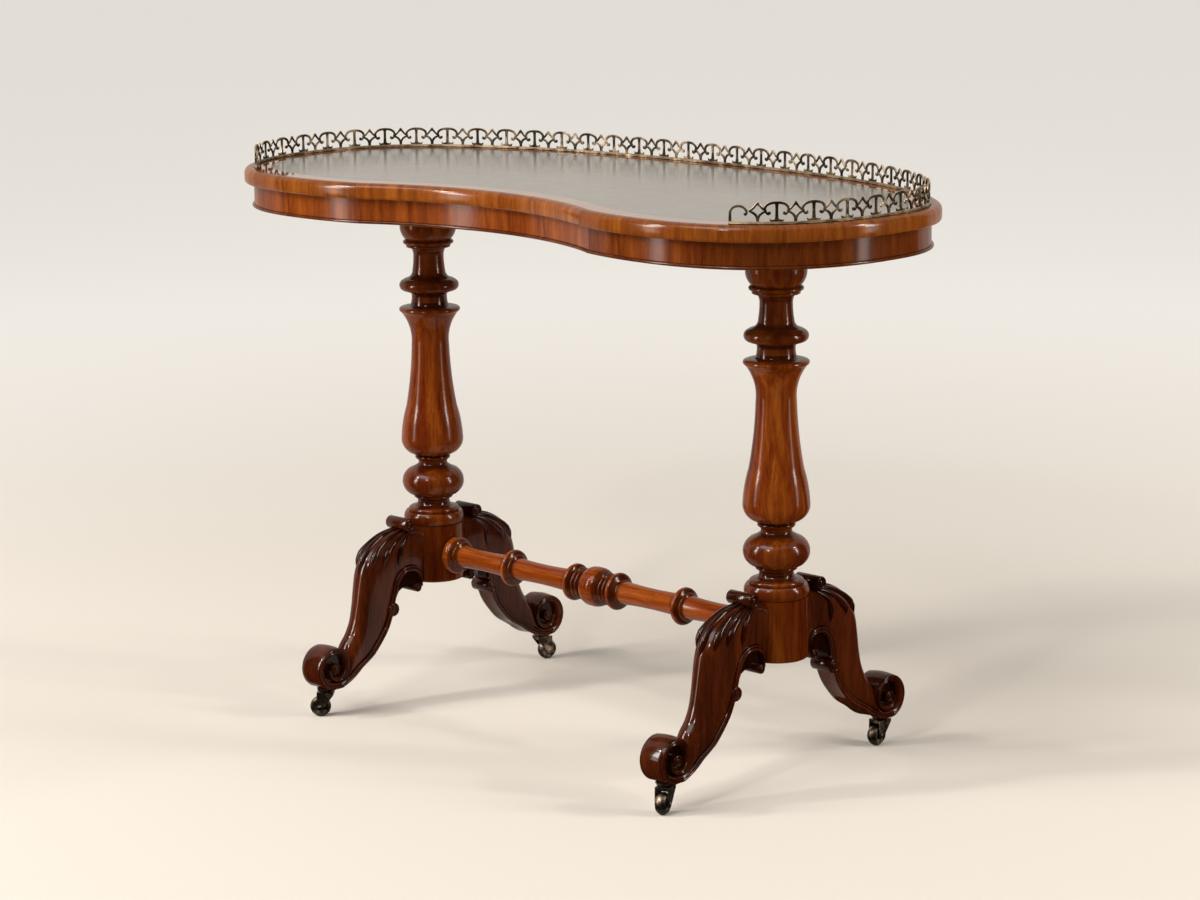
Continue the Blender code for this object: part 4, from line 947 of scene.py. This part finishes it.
# Near-black wood for the plate behind the arch and the disc inside the volute: painted shade in these hollows
recess_shade_wood = polished_wood("leg_hollow_painted_shade", shaded(LEG_TONES, 0.22), (1, 1, 0.1), 55)
ROLLS = (
    # The knee, the end of the arch, the eye of the volute and the nub: centre, radius, half width, sides
    (at_toe(0.275, 1.028), 0.0088, 0.0203, 28),
    (at_toe(0.216, 0.577), 0.0062, 0.0203, 24),
    ((0, *TOE), 0.0072, 0.019, 24),
    (at_toe(0.4, 0.455), 0.0095, 0.0172, 24),
)
# The rolls' polish is a little darker all over
ROLL_DARKER = 0.2
web = np.array([at_toe(*point) for point in HOLLOW])
web = np.stack([web - (WEB_HALF, 0, 0), web + (WEB_HALF, 0, 0)])
disc = [(-DISC_HALF, POLE), (-DISC_HALF, DISC_RADIUS)]
disc += [(DISC_HALF, DISC_RADIUS), (DISC_HALF, POLE)]
lobes = [lobe(*row, side) for row in LEAF for side in ((1,) if row[1] == 0 else (1, -1))]
# The leaf is darker than the leg all over: painted shade for the grooves between its lobes
leaf_shaded_wood = polished_wood("leaf_carving_painted_shade", shaded(LEG_TONES, 0.45), (1, 1, 0.2), 70)
carving = {
    "leg": (leg_wood, [(LEG, leg_painted_shade)] + [(roll(*row), ROLL_DARKER) for row in ROLLS]),
    "hollow": (recess_shade_wood, [(web, 0), (revolve(disc, 32, "X", (0, *TOE)), 0)]),
    "leaf": (leaf_shaded_wood, [(grid, 0) for grid in lobes]),
}
for side, x in SIDES:
    for end, facing in (("front", -1), ("back", 1)):
        turn = (np.diag([1, facing, 1]), np.array([x, 0, 0]))
        for form, (wood, grids) in carving.items():
            shape = Shape()
            for grid, shade_and_dark_polish in grids:
                shape.skin(grid, shade_and_dark_polish=shade_and_dark_polish)
            nodes = ("leg_%s_%s" % (side, end),) if form == "leg" else ()
            name = "carved_%s_%s_%s" % (form, side, end)
            shape.make(name, wood, "leg_wood", nodes, turn=turn, sharp=50)
print("four legs with", len(ROLLS), "rolls and", len(lobes), "lobes each")

# %% [markdown]
# Castors
#
# The castors are brass: a plate, a fork that swivels and a barrel shaped wheel. The wheels are turned
# afresh, finer than the CAD, and the rest keeps its shape. Where each stands is read from the frame,
# and its axle lies square to the way from the pin to the wheel.

# %% Wheels
WHEEL_HALF = 0.0067
# Left half of the barrel, as shares of half its width and of its radius
WHEEL_PROFILE = (
    (-0.8, 0.0001), (-0.8, 0.28), (-1, 0.3), (-1, 0.7), (-0.97, 0.78), (-0.8, 0.84), (-0.6, 0.92),
    (-0.3, 0.98), (0, 1),
)
castor_brass = old_brass("castor_brass", (0.03, 0.021, 0.014), (0.34, 0.25, 0.18), 0.3, 90)
wheel_brass = old_brass("wheel_bronze", (0.022, 0.017, 0.013), (0.26, 0.2, 0.15), 0.26, 120)
barrel = np.array(WHEEL_PROFILE)
barrel = np.r_[barrel, barrel[-2::-1] * (-1, 1)]
for corner in CORNERS:
    low, high = np.array(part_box("castor_wheel_" + corner))
    centre = (low + high) / 2
    x, y = unit((centre - np.mean(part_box("castor_plate_" + corner), axis=0))[:2])
    turn = np.array([(-y, x, 0), (0, 0, 1), (x, y, 0)]).T
    wheel = Shape().skin(revolve(barrel * (WHEEL_HALF, (high[2] - low[2]) / 2), 48, "X"))
    name = "wheel_" + corner
    wheel.make("barrel_" + name, wheel_brass, "castor_brass", ("castor_" + name,), name, (turn, centre))
    refinish(["castor_%s_%s" % (part, corner) for part in ("plate", "fork", "axle")], castor_brass)
    print(name, "stands at", np.round(centre, 3).tolist())

# %% [markdown]
# Floor and light
#
# The floor pales with distance, before a pale surrounding. The light is what a photographer uses for
# polished wood: tall narrow lamps at the sides, whose mirror images draw long streaks down the turned
# columns, small ones high up, and a soft sun for a pale ceiling. The shine on the columns in the
# photograph gave the places. A dark sheet that only mirror images show is the unlit room behind the
# camera.


# %% Stage
def on_stage(name, data):
    """An object that belongs to the stage, not to the table."""
    thing = bpy.data.objects.new(name, data)
    bpy.context.scene.collection.objects.link(thing)
    return thing


def sheet(name, corners, material, faces):
    """A flat or bent sheet from its corners and the corners of each face."""
    mesh = bpy.data.meshes.new(name)
    mesh.from_pydata(corners, [], faces)
    mesh.materials.append(material)
    return on_stage(name, mesh)


# The floor is warmer under the table and almost white far away
paper = Look("pale_paper", Specular_IOR_Level=0.1)
place = paper.stretched()
shade = paper.noise(place, 3, 3, 0.5)
away = paper.node("VectorMath", {0: place}, out="Value", operation="LENGTH")
tone = paper.mix(paper.band(away, 0.8, 4), (0.62, 0.565, 0.495), (0.91, 0.87, 0.81))
square = [(-30, -30, 0), (30, -30, 0), (30, 30, 0), (-30, 30, 0)]
sheet("floor", square, paper.wear(tone, 0.85 + shade * 0.1), [(0, 1, 2, 3)])

# The unlit room is a bent sheet: each (far, high) is an arc of 25 points round the table
cloth = Look("dark_room", Specular_IOR_Level=0)
folds = cloth.noise(cloth.stretched((1, 1, 0.1)), 2, 2, 0.5)
tone = cloth.mix(folds, (0.01, 0.008, 0.006), (0.02, 0.016, 0.012))
arc = ray(np.linspace(-150, 72, 25))
rings = [np.c_[*(far * arc.T), np.full(25, high)] for far, high in ((0.3, 0.01), (5.5, 0.01), (5.5, 5))]
strip = np.arange(24)[:, None] + (0, 1, 26, 25)
faces = [*strip.tolist(), *(strip + 25).tolist()]
dark_room = sheet("dark_room", np.concatenate(rings).tolist(), cloth.wear(tone, 0.95 + folds * 0.05), faces)
for kind in ("camera", "diffuse", "shadow", "transmission", "volume_scatter"):
    setattr(dark_room, "visible_" + kind, False)

WARM = (1, 0.965, 0.92)
TABLE = (0.2, 0, 0.4)
LAMPS = (
    # Name, place, what it points at, width and height, watts
    ("window_left", (-1.5, -2.6, 1.45), (0, 0, 1.45), (0.36, 1.4), 53),
    ("window_right", (2.9, 1.45, 1.45), (0, 0, 1.45), (0.34, 1.4), 44),
    ("low_left", (-1.5, -2.6, 0.4), (0, 0, 0.4), (0.36, 0.7), 6),
    ("low_right", (2.9, 1.45, 0.4), (0, 0, 0.4), (0.34, 0.7), 5),
    ("pane_left", (-1.7, -2.5, 2.6), TABLE, (0.25, 0.25), 32),
    ("pane_middle", (0.9, -3.2, 2.5), TABLE, (0.25, 0.25), 30),
    ("pane_right", (2.9, 1.6, 2.6), TABLE, (0.25, 0.25), 30),
)
for name, place, aim, size, power in LAMPS:
    light = bpy.data.lights.new(name, "AREA")
    light.shape = "RECTANGLE"
    light.size, light.size_y = size
    light.energy, light.color = power, WARM
    lamp = on_stage(name, light)
    lamp.location = place
    lamp.rotation_euler = (Vector(aim) - Vector(place)).to_track_quat("-Z", "Y").to_euler()
sun = bpy.data.lights.new("ceiling", "SUN")
sun.energy, sun.angle = 2.1, np.radians(40)
on_stage("ceiling", sun).rotation_euler = np.radians((42, 0, -8))

# The wall's colour shows to the camera, in mirror images and through glass; the rest is dimmer light
world = bpy.data.worlds.new("pale_room")
room = Look("pale_room", world)
seen = room.node("LightPath", out="Is Camera Ray")
for kind in ("Is Glossy Ray", "Is Transmission Ray"):
    seen = room.node("Math", {0: seen, 1: room.node("LightPath", out=kind)}, operation="MAXIMUM")
dim = room.node("Background", {"Color": (0.95, 0.95, 0.95), "Strength": 0.34})
wall = room.node("Background", {"Color": (0.93, 0.86, 0.775)})
both = room.node("MixShader", {0: seen, 1: dim, 2: wall})
room.feed(room.tree.nodes["World Output"].inputs["Surface"], both)
bpy.context.scene.world = world
print(len(LAMPS), "lamps,", sum(row[-1] for row in LAMPS), "W in all, and a soft sun")

# %% [markdown]
# Camera
#
# Place, turn and lens were fitted to the photograph: seventy points on the table were set against
# where they lie in the picture. A long lens looks down by eleven degrees from the front right.

# %% Camera
scene = bpy.context.scene
scene.view_settings.view_transform = "Standard"
CAMERA_PLACE = (3.11075, -3.09864, 1.26998)
LENS_MM = 101.979
YAW, PITCH_DOWN, ROLLED = np.radians((45.0372, 11.4335, -0.66485))
forward = np.array([-np.sin(YAW) * np.cos(PITCH_DOWN), np.cos(YAW) * np.cos(PITCH_DOWN), -np.sin(PITCH_DOWN)])
level = unit(np.cross(forward, (0, 0, 1)))
upright = np.cross(level, forward)
right = np.cos(ROLLED) * level + np.sin(ROLLED) * upright
top = np.cos(ROLLED) * upright - np.sin(ROLLED) * level
lens = bpy.data.cameras.new("photo_lens")
lens.lens = LENS_MM
lens.sensor_width = 36
camera = on_stage("photo_camera", lens)
camera.matrix_world = Matrix.Translation(CAMERA_PLACE) @ Matrix([right, top, -forward]).transposed().to_4x4()
scene.camera = camera
print("camera at", [round(v, 2) for v in camera.location])
